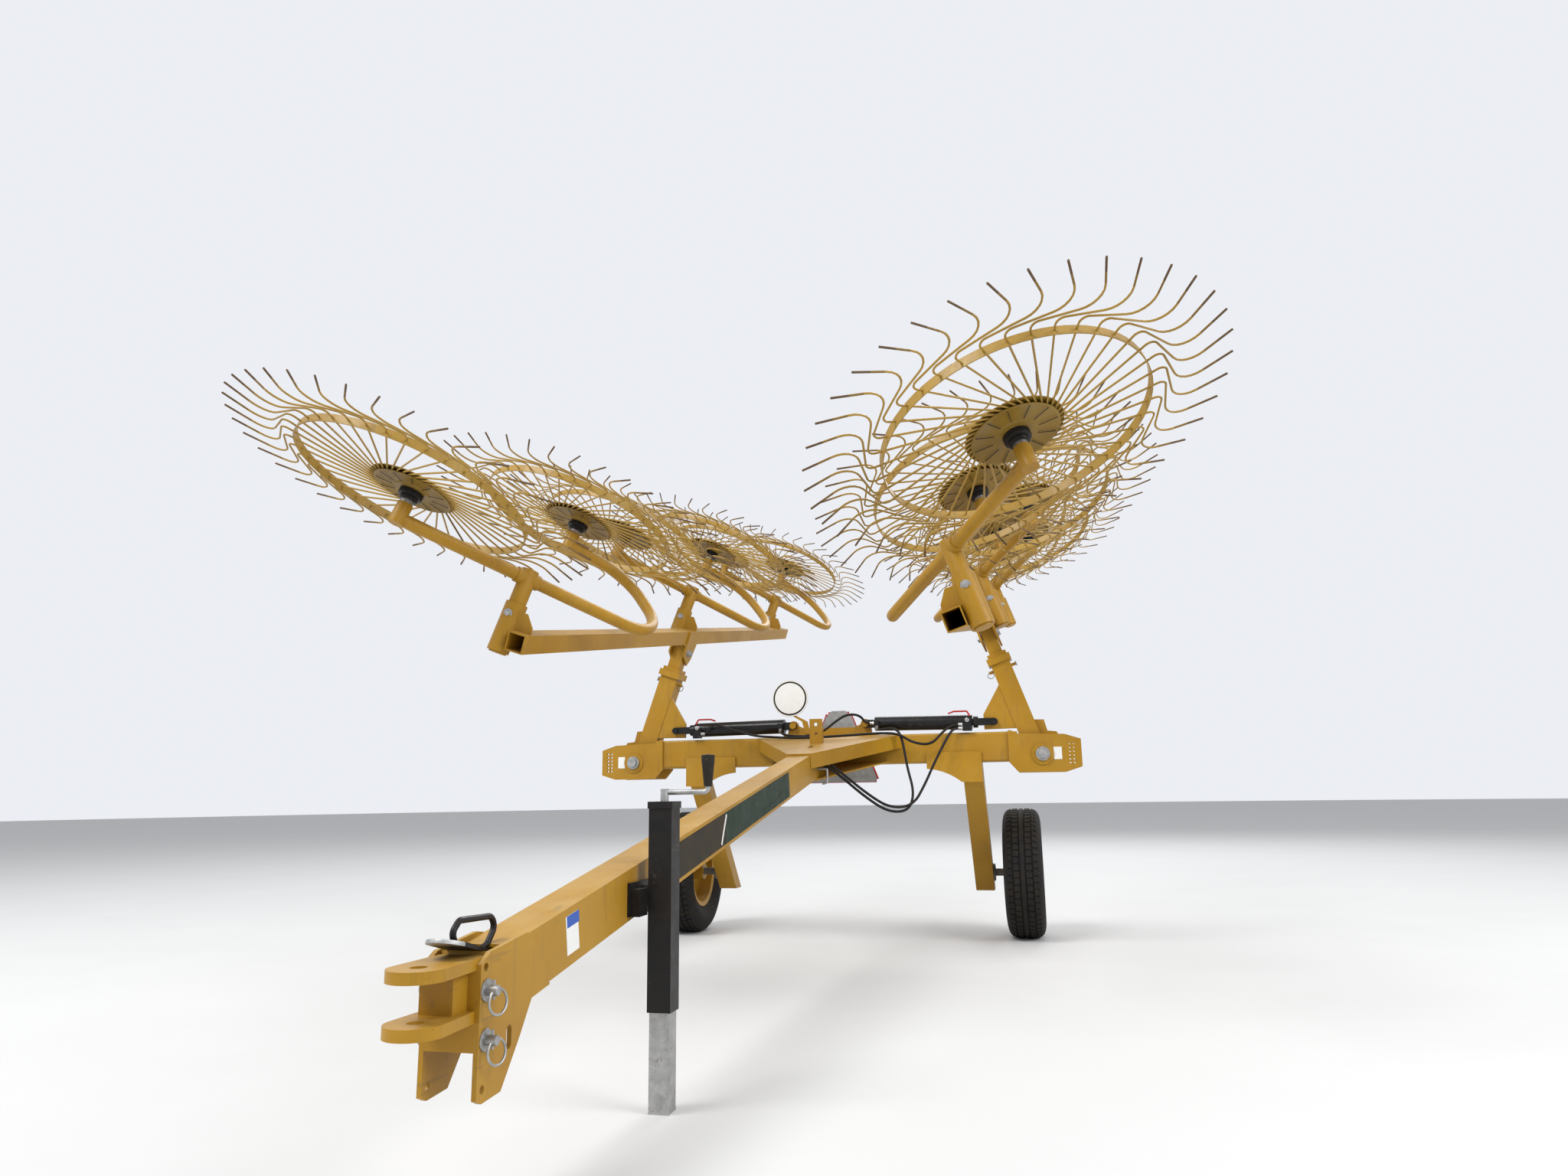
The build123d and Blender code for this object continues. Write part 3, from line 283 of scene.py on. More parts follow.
# %% Metal, rubber and plastic finishes
def plated(name, colour=(0.46, 0.46, 0.45), roughness=0.38, rust=0.3):
    metal = Finish(name)
    cloud = metal.ramp(metal.noise(45.0, 4), 0.3, 0.7)
    dark = tuple(c * 0.66 for c in colour)
    shade = metal.mix(cloud, dark, colour)
    spots = metal.ramp(metal.noise(120.0, 3), 0.62, 0.70) * rust
    shade = metal.mix(spots, shade, RUST)
    return metal.finish(
        shade, cloud * 0.18 + roughness + spots * 0.3, metallic=1 - spots, bump=metal.noise(300.0, 2),
        bump_depth=0.0003,
    )


def cast(name, colour=(0.20, 0.195, 0.18)):
    metal = Finish(name)
    cloud = metal.ramp(metal.noise(30.0, 5, 0.7), 0.3, 0.75)
    shade = metal.mix(cloud, tuple(c * 0.55 for c in colour), colour)
    spots = metal.ramp(metal.noise(70.0, 4), 0.58, 0.72)
    shade = metal.mix(spots * 0.5, shade, RUST)
    lumps = metal.noise(140.0, 5, 0.8)
    return metal.finish(shade, cloud * 0.15 + 0.62, metallic=0.35, bump=lumps, bump_depth=0.0012)


def enamel(name, colour=(0.007, 0.007, 0.008), roughness=0.3, dust_and_sun=0.25, coat=0.05, bump=0.0004):
    paint = Finish(name)
    film = paint.ramp(paint.noise(14.0, 6, 0.7), 0.35, 0.8)
    # Faces that look up get up to twice as much of the pale colour: painted sunlight on the tops,
    # mottled like the dust.
    top = paint.ramp(paint.normal_z(), 0.2, 0.9)
    shade = paint.mix((film * dust_and_sun + top * film * dust_and_sun).clamp(), colour, DUST_AND_SUNLIGHT)
    marks = paint.ramp(paint.stretched(45.0, (1.0, 0.1, 1.0)), 0.66, 0.7)
    shade = paint.mix(marks * 0.2, shade, (0.12, 0.11, 0.10))
    return paint.finish(
        shade, (film * 0.3 + roughness).clamp(), bump=paint.noise(220.0, 3), bump_depth=bump, coat=coat,
        specular=0.2,
    )


zinc = plated("zinc")
galvanised = plated("galvanised", (0.50, 0.50, 0.49), 0.45, 0.5)
casting = cast("grey_casting")
black_steel = enamel("black_steel", dust_and_sun=0.025)
cylinder_black = enamel("black_cylinder", roughness=0.22, dust_and_sun=0.02, coat=0.15)
chrome_rod = plated("chrome_rod", (0.62, 0.62, 0.62), 0.12, 0.0)
grip_black = enamel("black_grip", roughness=0.55, dust_and_sun=0.06, coat=0.0, bump=0.001)
hose_black = enamel("hose_rubber", (0.008, 0.008, 0.009), 0.5, 0.04, 0.0, 0.0008)
tyre_black = enamel("tyre_rubber", (0.009, 0.009, 0.010), 0.72, 0.05, 0.0, 0.0015)
tine_dark = cast("tine_steel", (0.17, 0.10, 0.045))
dull_black = enamel("dull_black", (0.022, 0.018, 0.013), 0.6, 0.10, 0.0)
lever_red = enamel("lever_red", (0.42, 0.02, 0.02), 0.4, 0.05, 0.1)
sign_grey = plated("sign_grey", (0.42, 0.43, 0.43), 0.5, 0.1)
sign_white = enamel("sign_white", (0.80, 0.80, 0.78), 0.45, 0.10, 0.1, 0.0002)
sign_orange = enamel("sign_orange", (0.80, 0.20, 0.02), 0.45, 0.08, 0.1, 0.0002)
sign_red = enamel("sign_red", (0.50, 0.02, 0.02), 0.45, 0.08, 0.1, 0.0002)
sign_blue = enamel("sign_blue", (0.03, 0.10, 0.42), 0.45, 0.08, 0.1, 0.0002)
sign_green = enamel("sign_green", (0.004, 0.022, 0.012), 0.4, 0.02, 0.05, 0.0002)
print("metals ready")

# %% [markdown]
# ## Hoses
#
# Four hydraulic hoses feed the fold cylinders. A hose is a cord of fixed length, so it is a smooth
# NURBS line through its control points, with a round bevel. Two come out at the drawbar
# and hang in a loop before the beam; two cross between the cylinders.

# %% Hose routes
HOSE_WIDE = 0.013
HOSES = {
    "hose_main_inner": [
        (0.052, 3.196, 0.490), (0.084, 3.196, 0.490), (0.150, 3.236, 0.436), (0.262, 3.305, 0.330),
        (0.360, 3.380, 0.258), (0.450, 3.460, 0.262), (0.470, 3.540, 0.350), (0.430, 3.600, 0.480),
        (0.412, 3.625, 0.600), (0.385, 3.645, 0.676), (0.320, 3.684, 0.684), (0.264, 3.702, 0.676),
        (0.264, 3.702, 0.7006),
    ],
    "hose_main_outer": [
        (0.052, 3.196, 0.512), (0.086, 3.196, 0.512), (0.156, 3.226, 0.452), (0.268, 3.292, 0.350),
        (0.366, 3.376, 0.278), (0.470, 3.470, 0.286), (0.520, 3.590, 0.392), (0.560, 3.620, 0.482),
        (0.616, 3.640, 0.590), (0.660, 3.678, 0.668), (0.686, 3.698, 0.674), (0.7146, 3.698, 0.674),
    ],
    "hose_cross_outer": [
        (-0.7146, 3.700, 0.684), (-0.676, 3.700, 0.684), (-0.640, 3.690, 0.744),
        (-0.590, 3.680, 0.720), (-0.490, 3.658, 0.690), (-0.385, 3.640, 0.660),
        (-0.290, 3.618, 0.652), (-0.184, 3.575, 0.642), (-0.059, 3.545, 0.638),
        (0.186, 3.552, 0.648), (0.310, 3.594, 0.656), (0.392, 3.612, 0.650), (0.458, 3.632, 0.604),
        (0.552, 3.658, 0.590), (0.612, 3.690, 0.660), (0.660, 3.702, 0.694), (0.7146, 3.702, 0.694),
    ],
    "hose_cross_inner": [
        (-0.264, 3.702, 0.7006), (-0.264, 3.702, 0.676), (-0.215, 3.664, 0.660),
        (-0.128, 3.620, 0.650), (-0.052, 3.602, 0.654), (0.000, 3.612, 0.678), (0.052, 3.640, 0.724),
        (0.110, 3.664, 0.764), (0.176, 3.694, 0.760), (0.206, 3.704, 0.714), (0.2504, 3.704, 0.714),
    ],
}


def hose_piece(name, points):
    """A smooth round hose along its control points."""
    line = bpy.data.curves.new(name, "CURVE")
    line.dimensions = "3D"
    line.resolution_u = 8
    line.bevel_depth = HOSE_WIDE / 2
    line.bevel_resolution = 4
    line.use_fill_caps = True
    run = line.splines.new("NURBS")
    run.points.add(len(points) - 1)
    for point, place in zip(run.points, points):
        point.co = (*place, 1.0)
    run.order_u = 3
    run.use_endpoint_u = True
    piece = bpy.data.objects.new(name + "_line", line)
    bpy.context.scene.collection.objects.link(piece)
    piece.data.materials.append(hose_black)
    return piece


def line_length(piece):
    """Length along the middle of a hose."""
    bevel = piece.data.bevel_depth
    piece.data.bevel_depth = 0
    mesh = bpy.data.meshes.new_from_object(piece)
    piece.data.bevel_depth = bevel
    places = [v.co.copy() for v in mesh.vertices]
    bpy.data.meshes.remove(mesh)
    return sum((b - a).length for a, b in zip(places, places[1:]))


for name, points in HOSES.items():
    hose = hose_piece(name, points)
    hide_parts(name)
    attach(hose, "frame")
    long = line_length(hose)
    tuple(points[0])
    print(name, "length", round(long, 3), "m")

# %% [markdown]
# ## Light and floor
#
# A pale floor and large soft lamps show the shape without hard shadows. The lamps stay plain: a
# broad key from the front left, a weaker one from the right, one from behind, and a low sky all
# round. The sky that the camera and the reflections see is paler than the one that lights the rake.

# %% Studio
FLOOR_R = 60
FLOOR_Z = cad_box[0][2]
SKY_LIGHT = 0.62
SKY_SEEN = 0.90
MIDDLE = Vector(((cad_box[0][0] + cad_box[1][0]) / 2, (cad_box[0][1] + cad_box[1][1]) / 2, 0.6))

bpy.ops.object.select_all(action="DESELECT")
bpy.ops.mesh.primitive_circle_add(
    vertices=96, radius=FLOOR_R, fill_type="NGON", location=(MIDDLE.x, MIDDLE.y, FLOOR_Z)
)
floor = bpy.context.object
floor.name = "studio_floor"
floor_paint = Finish("studio_floor")
speckle = floor_paint.noise(1.5, 3)
floor.data.materials.append(
    floor_paint.finish(floor_paint.mix(speckle, (0.60, 0.60, 0.59), (0.64, 0.64, 0.63)), 0.9)
)
floor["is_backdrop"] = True

LAMPS = [  # name, place seen from the middle of the rake, size, power
    ("key", (-5.0, -7.0, 9.0), 6.0, 1150),
    ("fill", (8.0, -4.0, 5.0), 6.0, 520),
    ("back", (1.0, 9.0, 8.0), 7.0, 650),
]
for name, place, size, power in LAMPS:
    lamp_data = bpy.data.lights.new(name, "AREA")
    lamp_data.shape = "DISK"
    lamp_data.size = size
    lamp_data.energy = power
    lamp = bpy.data.objects.new(name, lamp_data)
    bpy.context.scene.collection.objects.link(lamp)
    lamp.location = MIDDLE + Vector(place)
    lamp.rotation_euler = Vector(place).to_track_quat("Z", "Y").to_euler()

world = bpy.data.worlds.new("studio")
bpy.context.scene.world = world
world.use_nodes = True
sky = world.node_tree.nodes["Background"]
rays = world.node_tree.nodes.new("ShaderNodeLightPath")
strength = world.node_tree.nodes.new("ShaderNodeMapRange")
seen = rays.outputs["Is Camera Ray"]
for kind in ("Is Glossy Ray", "Is Transmission Ray"):
    either = world.node_tree.nodes.new("ShaderNodeMath")
    either.operation = "MAXIMUM"
    world.node_tree.links.new(seen, either.inputs[0])
    world.node_tree.links.new(rays.outputs[kind], either.inputs[1])
    seen = either.outputs[0]
world.node_tree.links.new(seen, strength.inputs["Value"])
strength.inputs["To Min"].default_value = SKY_LIGHT
strength.inputs["To Max"].default_value = SKY_SEEN
world.node_tree.links.new(strength.outputs[0], sky.inputs["Strength"])
sky.inputs["Color"].default_value = (0.93, 0.95, 1.0, 1)
print("studio ready")

# %% [markdown]
# ## Paint on the CAD pieces
#
# Most tubes, plates and castings already have their true shape, so they keep it and only get their
# finish. A short table says which finish goes on which piece.

# %% Finishes of the carried-over pieces
NODE_FINISH = {
    "hitch_clevis": yellow_cast, "clevis_pins": zinc, "pivot_pins": zinc, "axles": casting,
    "jack_mount": black_steel, "jack_outer": black_steel,
    "jack_inner": galvanised, "jack_crank": zinc, "jack_grip": grip_black, "hose_hook": zinc,
    "barrel_left": cylinder_black, "barrel_right": cylinder_black, "rod_left": cylinder_black,
    "rod_right": cylinder_black, "wheel_rim_left": yellow_rim, "wheel_rim_right": yellow_rim,
    "slow_plate": sign_grey,
}
for name, node in frame["nodes"].items():
    node.data.materials.clear()
    node.data.materials.append(NODE_FINISH.get(name, yellow))
print(len(frame["nodes"]), "nodes painted")

# %% [markdown]
# ## Modelling helpers
#
# New pieces start as primitives or as bevelled curves and are shaped in edit mode. Every piece ends
# as one plain mesh whose object sits at the world's origin, so that materials and joints see true
# coordinates.

# %% Helpers for modelling
def nothing_selected():
    if bpy.context.object and bpy.context.object.mode != "OBJECT":
        bpy.ops.object.mode_set(mode="OBJECT")
    bpy.ops.object.select_all(action="DESELECT")


def only(piece):
    """Selects one piece and makes it active."""
    nothing_selected()
    piece.select_set(True)
    bpy.context.view_layer.objects.active = piece


def select_faces(piece, test):
    """In edit mode, selects the faces whose middle and normal pass the test."""
    bpy.ops.mesh.select_mode(type="FACE")
    bpy.ops.mesh.select_all(action="DESELECT")
    shape = bmesh.from_edit_mesh(piece.data)
    for face in shape.faces:
        face.select_set(bool(test(face.calc_center_median(), face.normal)))
    bmesh.update_edit_mesh(piece.data)


def joined(pieces, name):
    """Joins several meshes into one piece."""
    nothing_selected()
    for piece in pieces:
        piece.select_set(True)
    bpy.context.view_layer.objects.active = pieces[0]
    bpy.ops.object.join()
    pieces[0].name = name
    return pieces[0]


def rounded(points, radii, steps=8):
    """A line of points with each corner replaced by an arc of its radius."""
    path = [Vector(points[0])]
    for before, corner, after, radius in zip(points, points[1:], points[2:], radii):
        corner = Vector(corner)
        back = (Vector(before) - corner).normalized()
        onward = (Vector(after) - corner).normalized()
        half = back.angle(onward) / 2
        middle = corner + (back + onward).normalized() * radius / math.sin(half)
        first = corner + back * radius / math.tan(half) - middle
        last = corner + onward * radius / math.tan(half) - middle
        for k in range(steps + 1):
            turn = Matrix.Rotation(first.angle(last) * k / steps, 3, first.cross(last))
            path.append(middle + turn @ first)
    return [*path, Vector(points[-1])]


def tube_along(points, radius, paint, sides=8, closed=False):
    """A round bar along a line of points, as a mesh."""
    line = bpy.data.curves.new("bar", "CURVE")
    line.dimensions = "3D"
    line.bevel_depth = radius
    line.bevel_resolution = (sides - 4) // 2
    line.use_fill_caps = not closed
    run = line.splines.new("POLY")
    run.points.add(len(points) - 1)
    for point, place in zip(run.points, points):
        point.co = (*place, 1.0)
    run.use_cyclic_u = closed
    piece = bpy.data.objects.new("bar", line)
    bpy.context.scene.collection.objects.link(piece)
    only(piece)
    bpy.ops.object.convert(target="MESH")
    piece = bpy.context.object
    piece.data.materials.clear()
    piece.data.materials.append(paint)
    return piece


def set_down(piece, at, up, paint, across=None):
    """Turns a piece drawn round the origin to its place, its Z along up, and paints it."""
    up = Vector(up).normalized()
    across = Vector(across) if across else up.orthogonal()
    across = (across - up * across.dot(up)).normalized()
    turn = Matrix((across, up.cross(across), up)).transposed().to_4x4()
    only(piece)
    bpy.ops.object.transform_apply(location=True, rotation=True, scale=True)
    piece.data.transform(Matrix.Translation(Vector(at)) @ turn)
    piece.data.materials.clear()
    piece.data.materials.append(paint)
    return piece


def disc(at, up, radius, depth, paint, sides=24, edge=0.0):
    """A round or many-sided plate whose foot is at the place and which rises along up."""
    nothing_selected()
    bpy.ops.mesh.primitive_cylinder_add(vertices=sides, radius=radius, depth=depth)
    piece = bpy.context.object
    piece.location.z = depth / 2
    bpy.ops.object.transform_apply(location=True)
    if edge:
        bpy.ops.object.mode_set(mode="EDIT")
        select_faces(piece, lambda middle, normal: normal.z > 0.9)
        bpy.ops.mesh.bevel(offset=edge, segments=2, affect="EDGES")
        bpy.ops.object.mode_set(mode="OBJECT")
    return set_down(piece, at, up, paint)


def slab(at, up, size, paint, across=None):
    """A thin rectangular plate whose foot is at the place and which rises along up."""
    nothing_selected()
    bpy.ops.mesh.primitive_cube_add(size=1)
    piece = bpy.context.object
    piece.scale = size
    piece.location.z = size[2] / 2
    return set_down(piece, at, up, paint, across)


def bolt(at, up, size, washer=None, dome=False):
    """A zinc washer with a six-sided or a domed head on it."""
    up = Vector(up).normalized()
    thick = size * 0.18
    parts = [disc(at, up, washer or size * 1.15, thick, zinc, 24, thick * 0.4)]
    top = Vector(at) + up * thick
    if dome:
        parts.append(disc(top, up, size * 0.92, size * 0.6, zinc, 20, size * 0.3))
    else:
        parts.append(disc(top, up, size, size * 0.8, zinc, 6, size * 0.08))
    return parts


def ring(at, up, radius, wire, paint):
    """A wire ring round the place, lying across up."""
    nothing_selected()
    bpy.ops.mesh.primitive_torus_add(
        major_radius=radius, minor_radius=wire, major_segments=28, minor_segments=8
    )
    return set_down(bpy.context.object, at, up, paint)


def give(parts, name, body):
    """Joins parts into one named piece that rides on a body."""
    piece = joined(parts, name)
    only(piece)
    bpy.ops.object.shade_smooth_by_angle(angle=math.radians(35))
    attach(piece, body)
    return piece


# %% [markdown]
# ## Raking wheels
#
# Each wheel is a pair of pressed hub discs, a flat steel hoop, and forty long spring tines. A tine
# starts between the hub discs, runs out through the hoop, hooks along it, and then bends outward to
# a worn and at last bare tip. One tine is drawn as a bevelled line, made into a mesh and spun round
# the axle, which keeps all forty alike.

# %% A ring of tines
BAND_Z = -0.012
TINES = 40
TINE_R = 0.0036
TINE_OUT = Vector((0.986, -0.167, 0))
WORN_FROM = 0.540
BARE_FROM = 0.585
TINE_CORNERS = [
    (0.102, 0.077, -0.014), (0.491, -0.0127, BAND_Z), (0.5042, 0.2046, BAND_Z),
    (0.6775, 0.1752, BAND_Z),
]
TINE_BENDS = [0.024, 0.065]


def tine_ring():
    """Forty tines round the origin, each with a worn stretch and a bare end."""
    tine = tube_along(rounded(TINE_CORNERS, TINE_BENDS, 6), TINE_R, wheel_paint, sides=6)
    only(tine)
    for number, (reach, paint) in enumerate(((WORN_FROM, tine_worn), (BARE_FROM, tine_dark)), 1):
        tine.data.materials.append(paint)
        bpy.ops.object.mode_set(mode="EDIT")
        bpy.ops.mesh.select_all(action="SELECT")
        bpy.ops.mesh.bisect(plane_co=TINE_OUT * reach, plane_no=TINE_OUT)
        select_faces(tine, lambda middle, normal: middle.dot(TINE_OUT) > reach)
        tine.active_material_index = number
        bpy.ops.object.material_slot_assign()
        bpy.ops.object.mode_set(mode="OBJECT")
    bpy.ops.object.mode_set(mode="EDIT")
    bpy.ops.mesh.select_all(action="SELECT")
    bpy.ops.mesh.spin(steps=TINES, dupli=True, angle=math.tau, center=(0, 0, 0), axis=(0, 0, 1))
    bpy.ops.object.mode_set(mode="OBJECT")
    return tine


# %% [markdown]
# ## Hoop and hub of a raking wheel
#
# The hoop is an extruded circle that a Solidify modifier gives its thickness. A hub disc is a thin
# cylinder whose faces are inset and pushed, which raises its rim and sinks its middle. Twelve thin
# dark seams and three turned rings on the axle finish the hub.

# %% Hoop and hub discs
HOOP_R = 0.442
HOOP_WIDE = 0.031
HOOP_THICK = 0.004
RIM_FLAT = 0.010
RIM_SLOPE = 0.005
RIM_PROUD = 0.003
MIDDLE_SLOPE = 0.006
MIDDLE_SUNK = 0.005


def hoop_band():
    """A flat band standing on edge round the origin."""
    nothing_selected()
    bpy.ops.mesh.primitive_circle_add(vertices=80, radius=HOOP_R, fill_type="NOTHING")
    hoop = bpy.context.object
    hoop.location.z = BAND_Z - HOOP_WIDE / 2
    bpy.ops.object.transform_apply(location=True)
    bpy.ops.object.mode_set(mode="EDIT")
    bpy.ops.mesh.select_mode(type="EDGE")
    bpy.ops.mesh.select_all(action="SELECT")
    bpy.ops.mesh.extrude_region_move(TRANSFORM_OT_translate={"value": (0, 0, HOOP_WIDE)})
    bpy.ops.mesh.select_all(action="SELECT")
    bpy.ops.mesh.normals_make_consistent(inside=False)
    bpy.ops.object.mode_set(mode="OBJECT")
    wall = hoop.modifiers.new("wall", "SOLIDIFY")
    wall.thickness = HOOP_THICK
    wall.offset = 0
    bpy.ops.object.modifier_apply(modifier="wall")
    hoop.data.materials.append(wheel_paint)
    return hoop


def hub_disc(radius, low, high):
    """A pressed disc whose faces are inset and moved, with a step at the rim and at the middle."""
    nothing_selected()
    bpy.ops.mesh.primitive_cylinder_add(vertices=64, radius=radius, depth=high - low)
    plate = bpy.context.object
    plate.location.z = (low + high) / 2
    bpy.ops.object.transform_apply(location=True)
    bpy.ops.object.mode_set(mode="EDIT")
    for side in (1, -1):
        select_faces(plate, lambda middle, normal: normal.z * side > 0.9)
        bpy.ops.mesh.inset(thickness=RIM_FLAT)
        bpy.ops.mesh.inset(thickness=RIM_SLOPE)
        bpy.ops.transform.translate(value=(0, 0, RIM_PROUD))
        bpy.ops.mesh.inset(thickness=radius * 0.42)
        bpy.ops.mesh.inset(thickness=MIDDLE_SLOPE)
        bpy.ops.transform.translate(value=(0, 0, -MIDDLE_SUNK))
    bpy.ops.object.mode_set(mode="OBJECT")
    plate.data.materials.append(hub_paint)
    return plate


# %% One whole wheel
SEAMS = 12
SEAM_AT = 0.108
SEAM_SIZE = (0.062, 0.0024, 0.0016)
HUB_FACE = Vector((0, 0, -0.0222))
HUB_DISCS = [(0.164, -0.009, -0.006), (0.148, -0.021, -0.018)]  # radius, lowest, highest
HUB_RINGS = [  # foot, way it rises, radius, depth, sides, edge
    (-0.022, -1, 0.045, 0.024, 32, 0.004), (-0.046, -1, 0.034, 0.014, 32, 0.003),
    (-0.006, 1, 0.030, 0.010, 24, 0.003),
]


def rake_wheel(name):
    """A raking wheel lying flat round the origin, tines sweeping one way."""
    parts = [tine_ring(), hoop_band(), *[hub_disc(*plate) for plate in HUB_DISCS]]
    for k in range(SEAMS):
        angle = math.tau * k / SEAMS
        way = Vector((math.cos(angle), math.sin(angle), 0))
        parts.append(slab(way * SEAM_AT + HUB_FACE, (0, 0, -1), SEAM_SIZE, dull_black, way))
    for foot, way, radius, depth, sides, edge in HUB_RINGS:
        parts.append(disc((0, 0, foot), (0, 0, way), radius, depth, black_steel, sides, edge))
    return joined(parts, name)


pattern = rake_wheel("rake_wheel_pattern")
only(pattern)
bpy.ops.object.shade_smooth_by_angle(angle=math.radians(35))
print("one wheel has", len(pattern.data.polygons), "faces")

# %% [markdown]
# ## Twelve raking wheels
#
# Each joint of the frame gives a wheel's axle and middle, so no place is typed here. Every wheel
# gets its own copy of the pattern's mesh. The left ones are mirrored, because their tines sweep the
# other way, and the right ones are turned a few degrees, as they stood in the picture.

# %% Twelve wheels in their places
WHEEL_PHASE = {"right": -4.5, "left": 0.0}
spins = {joint["child"]: joint for joint in frame["joints"] if joint["child"].startswith("rake_wheel")}
flat = pattern.data
for name, joint in spins.items():
    hand = "right" if "right" in name else "left"
    axis = Vector(joint["axis"]).normalized()
    rearward = Vector((0, 1, 0))
    across_axis = (rearward - axis * axis.dot(rearward)).normalized()
    place = Matrix((across_axis, axis.cross(across_axis), axis)).transposed().to_4x4()
    mesh = flat.copy()
    mesh.transform(Matrix.Rotation(math.radians(WHEEL_PHASE[hand]), 4, "Z"))
    if hand == "left":
        mesh.transform(Matrix.Scale(-1, 4, Vector((0, 1, 0))))
        mesh.flip_normals()
    mesh.transform(Matrix.Translation(Vector(joint["pos_m"])) @ place)
    wheel = bpy.data.objects.new(name + "_dressed", mesh)
    bpy.context.scene.collection.objects.link(wheel)
    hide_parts(name)
    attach(wheel, name)
bpy.data.objects.remove(pattern)
print(len(spins), "raking wheels set")

# %% [markdown]
# ## Bent arms
#
# One thick tube carries two raking wheels. It lies across its post in a short sleeve, then swings
# round in one wide bend and comes back under the second wheel. The wide bend is what the eye sees
# first in the folded machine, so the tube is drawn again here with a larger radius.

# %% Arms
ARM_R = 0.0255
ARM_BEND = 0.235
ARM_POINTS = [(-0.557, 0.008), (0.760, -0.011), (0.660, 0.520), (0.340, 0.550)]  # along, across
SLEEVE_WALL = 0.006
SLEEVE_LONG = 0.104
POST_R = 0.035
POST_DOWN = 0.315
POST_UP = 0.038
HUB_RISE = 0.135
COLLARS = [(-0.024, 0.029, 0.085, yellow, 28, 0.003), (0.055, 0.0245, 0.080, zinc, 24, 0.002)]
post_way = Vector((-0.325, 0.10, 0.940)).normalized()
arm_up = Vector((0.7011, 0.2073, -0.6827)).normalized()
arm_run = Vector((-0.506, 0.819, -0.271))
arm_run = (arm_run - arm_up * arm_run.dot(arm_up)).normalized()
arm_over = arm_up.cross(arm_run)

for hand, side in (("right", 1), ("left", -1)):
    mirror = Matrix.Scale(side, 3, Vector((1, 0, 0))) if side < 0 else Matrix.Identity(3)
    run = mirror @ arm_run
    over = mirror @ arm_over
    post = mirror @ post_way
    parts = []
    for number in (1, 3, 5):
        joint = spins[f"rake_wheel_{hand}_{number}"]
        wheel_up = Vector(joint["axis"]).normalized()
        start = Vector(joint["pos_m"]) - wheel_up * HUB_RISE
        tee = start - run * ARM_POINTS[0][0] - over * ARM_POINTS[0][1]
        corners = [tee + run * x + over * y for x, y in ARM_POINTS]
        parts.append(tube_along(rounded(corners, [ARM_BEND, ARM_BEND], 16), ARM_R, yellow, 24))
        sleeve_end = tee - run * SLEEVE_LONG / 2
        parts.append(disc(sleeve_end, run, ARM_R + SLEEVE_WALL, SLEEVE_LONG, yellow, 32, 0.004))
        post_foot = tee - post * POST_DOWN
        parts.append(disc(post_foot, post, POST_R, POST_DOWN + POST_UP, yellow, 32, 0.004))
        for end in (corners[0], corners[-1]):
            for lift, radius, depth, paint, sides, edge in COLLARS:
                parts.append(disc(end + wheel_up * lift, wheel_up, radius, depth, paint, sides, edge))
    arms = give(parts, f"bent_arms_{hand}", f"boom_{hand}")
    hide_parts(f"rake_arms_{hand}")
print("arms bent")

# %% [markdown]
# ## Directions of a boom
#
# The mast leans inwards and the rake beam slopes up to the rear, so nothing on a boom lies along a
# plain axis. Four unit vectors are worked out once from the two angles, for the right boom, and
# every piece on it is placed with them. The left boom's pieces are reflections.

# %% Boom directions and the mirror
LEAN = math.radians(19)
SLOPE = math.radians(8.9)
MAST_FOOT = Vector((1.0855, 3.788, 0.535))
HEAD_RISE = 0.754
along = Vector((0, math.cos(SLOPE), math.sin(SLOPE)))
rise = Vector((-math.sin(LEAN), 0, math.cos(LEAN)))
outward = Vector((math.cos(LEAN), 0, math.sin(LEAN)))
side_way = (outward - along * outward.dot(along)).normalized()
beam_up = side_way.cross(along)
HEAD = MAST_FOOT + rise * HEAD_RISE


def reflected(piece):
    """A copy of a piece on the left of the machine, with its own mesh."""
    mesh = piece.data.copy()
    mesh.transform(Matrix.Scale(-1, 4, Vector((1, 0, 0))))
    mesh.flip_normals()
    other = bpy.data.objects.new(piece.name.replace("right", "left"), mesh)
    bpy.context.scene.collection.objects.link(other)
    return other


# %% [markdown]
# ## Rake beams and their sockets
#
# The beam is a square tube, open at its ends, with three round sockets welded to its outer side.
# A thin slanted web braces each socket from above, and one through-bolt locks each arm's post. A
# tube with a real bore is a face that is inset, emptied and extruded.

# %% Tubes with a bore
def open_tube(at, up, radius, inner, depth, sides, paint, across=None):
    """A tube with a real bore: a ring of faces, extruded."""
    nothing_selected()
    bpy.ops.mesh.primitive_circle_add(vertices=sides, radius=radius, fill_type="NGON")
    piece = bpy.context.object
    bpy.ops.object.mode_set(mode="EDIT")
    bpy.ops.mesh.select_mode(type="FACE")
    bpy.ops.mesh.select_all(action="SELECT")
    bpy.ops.mesh.inset(thickness=radius - inner, use_even_offset=False)
    bpy.ops.mesh.delete(type="FACE")
    bpy.ops.mesh.select_all(action="SELECT")
    bpy.ops.mesh.extrude_region_move(TRANSFORM_OT_translate={"value": (0, 0, depth)})
    bpy.ops.mesh.select_all(action="SELECT")
    bpy.ops.mesh.normals_make_consistent(inside=False)
    bpy.ops.object.mode_set(mode="OBJECT")
    return set_down(piece, at, up, paint, across)


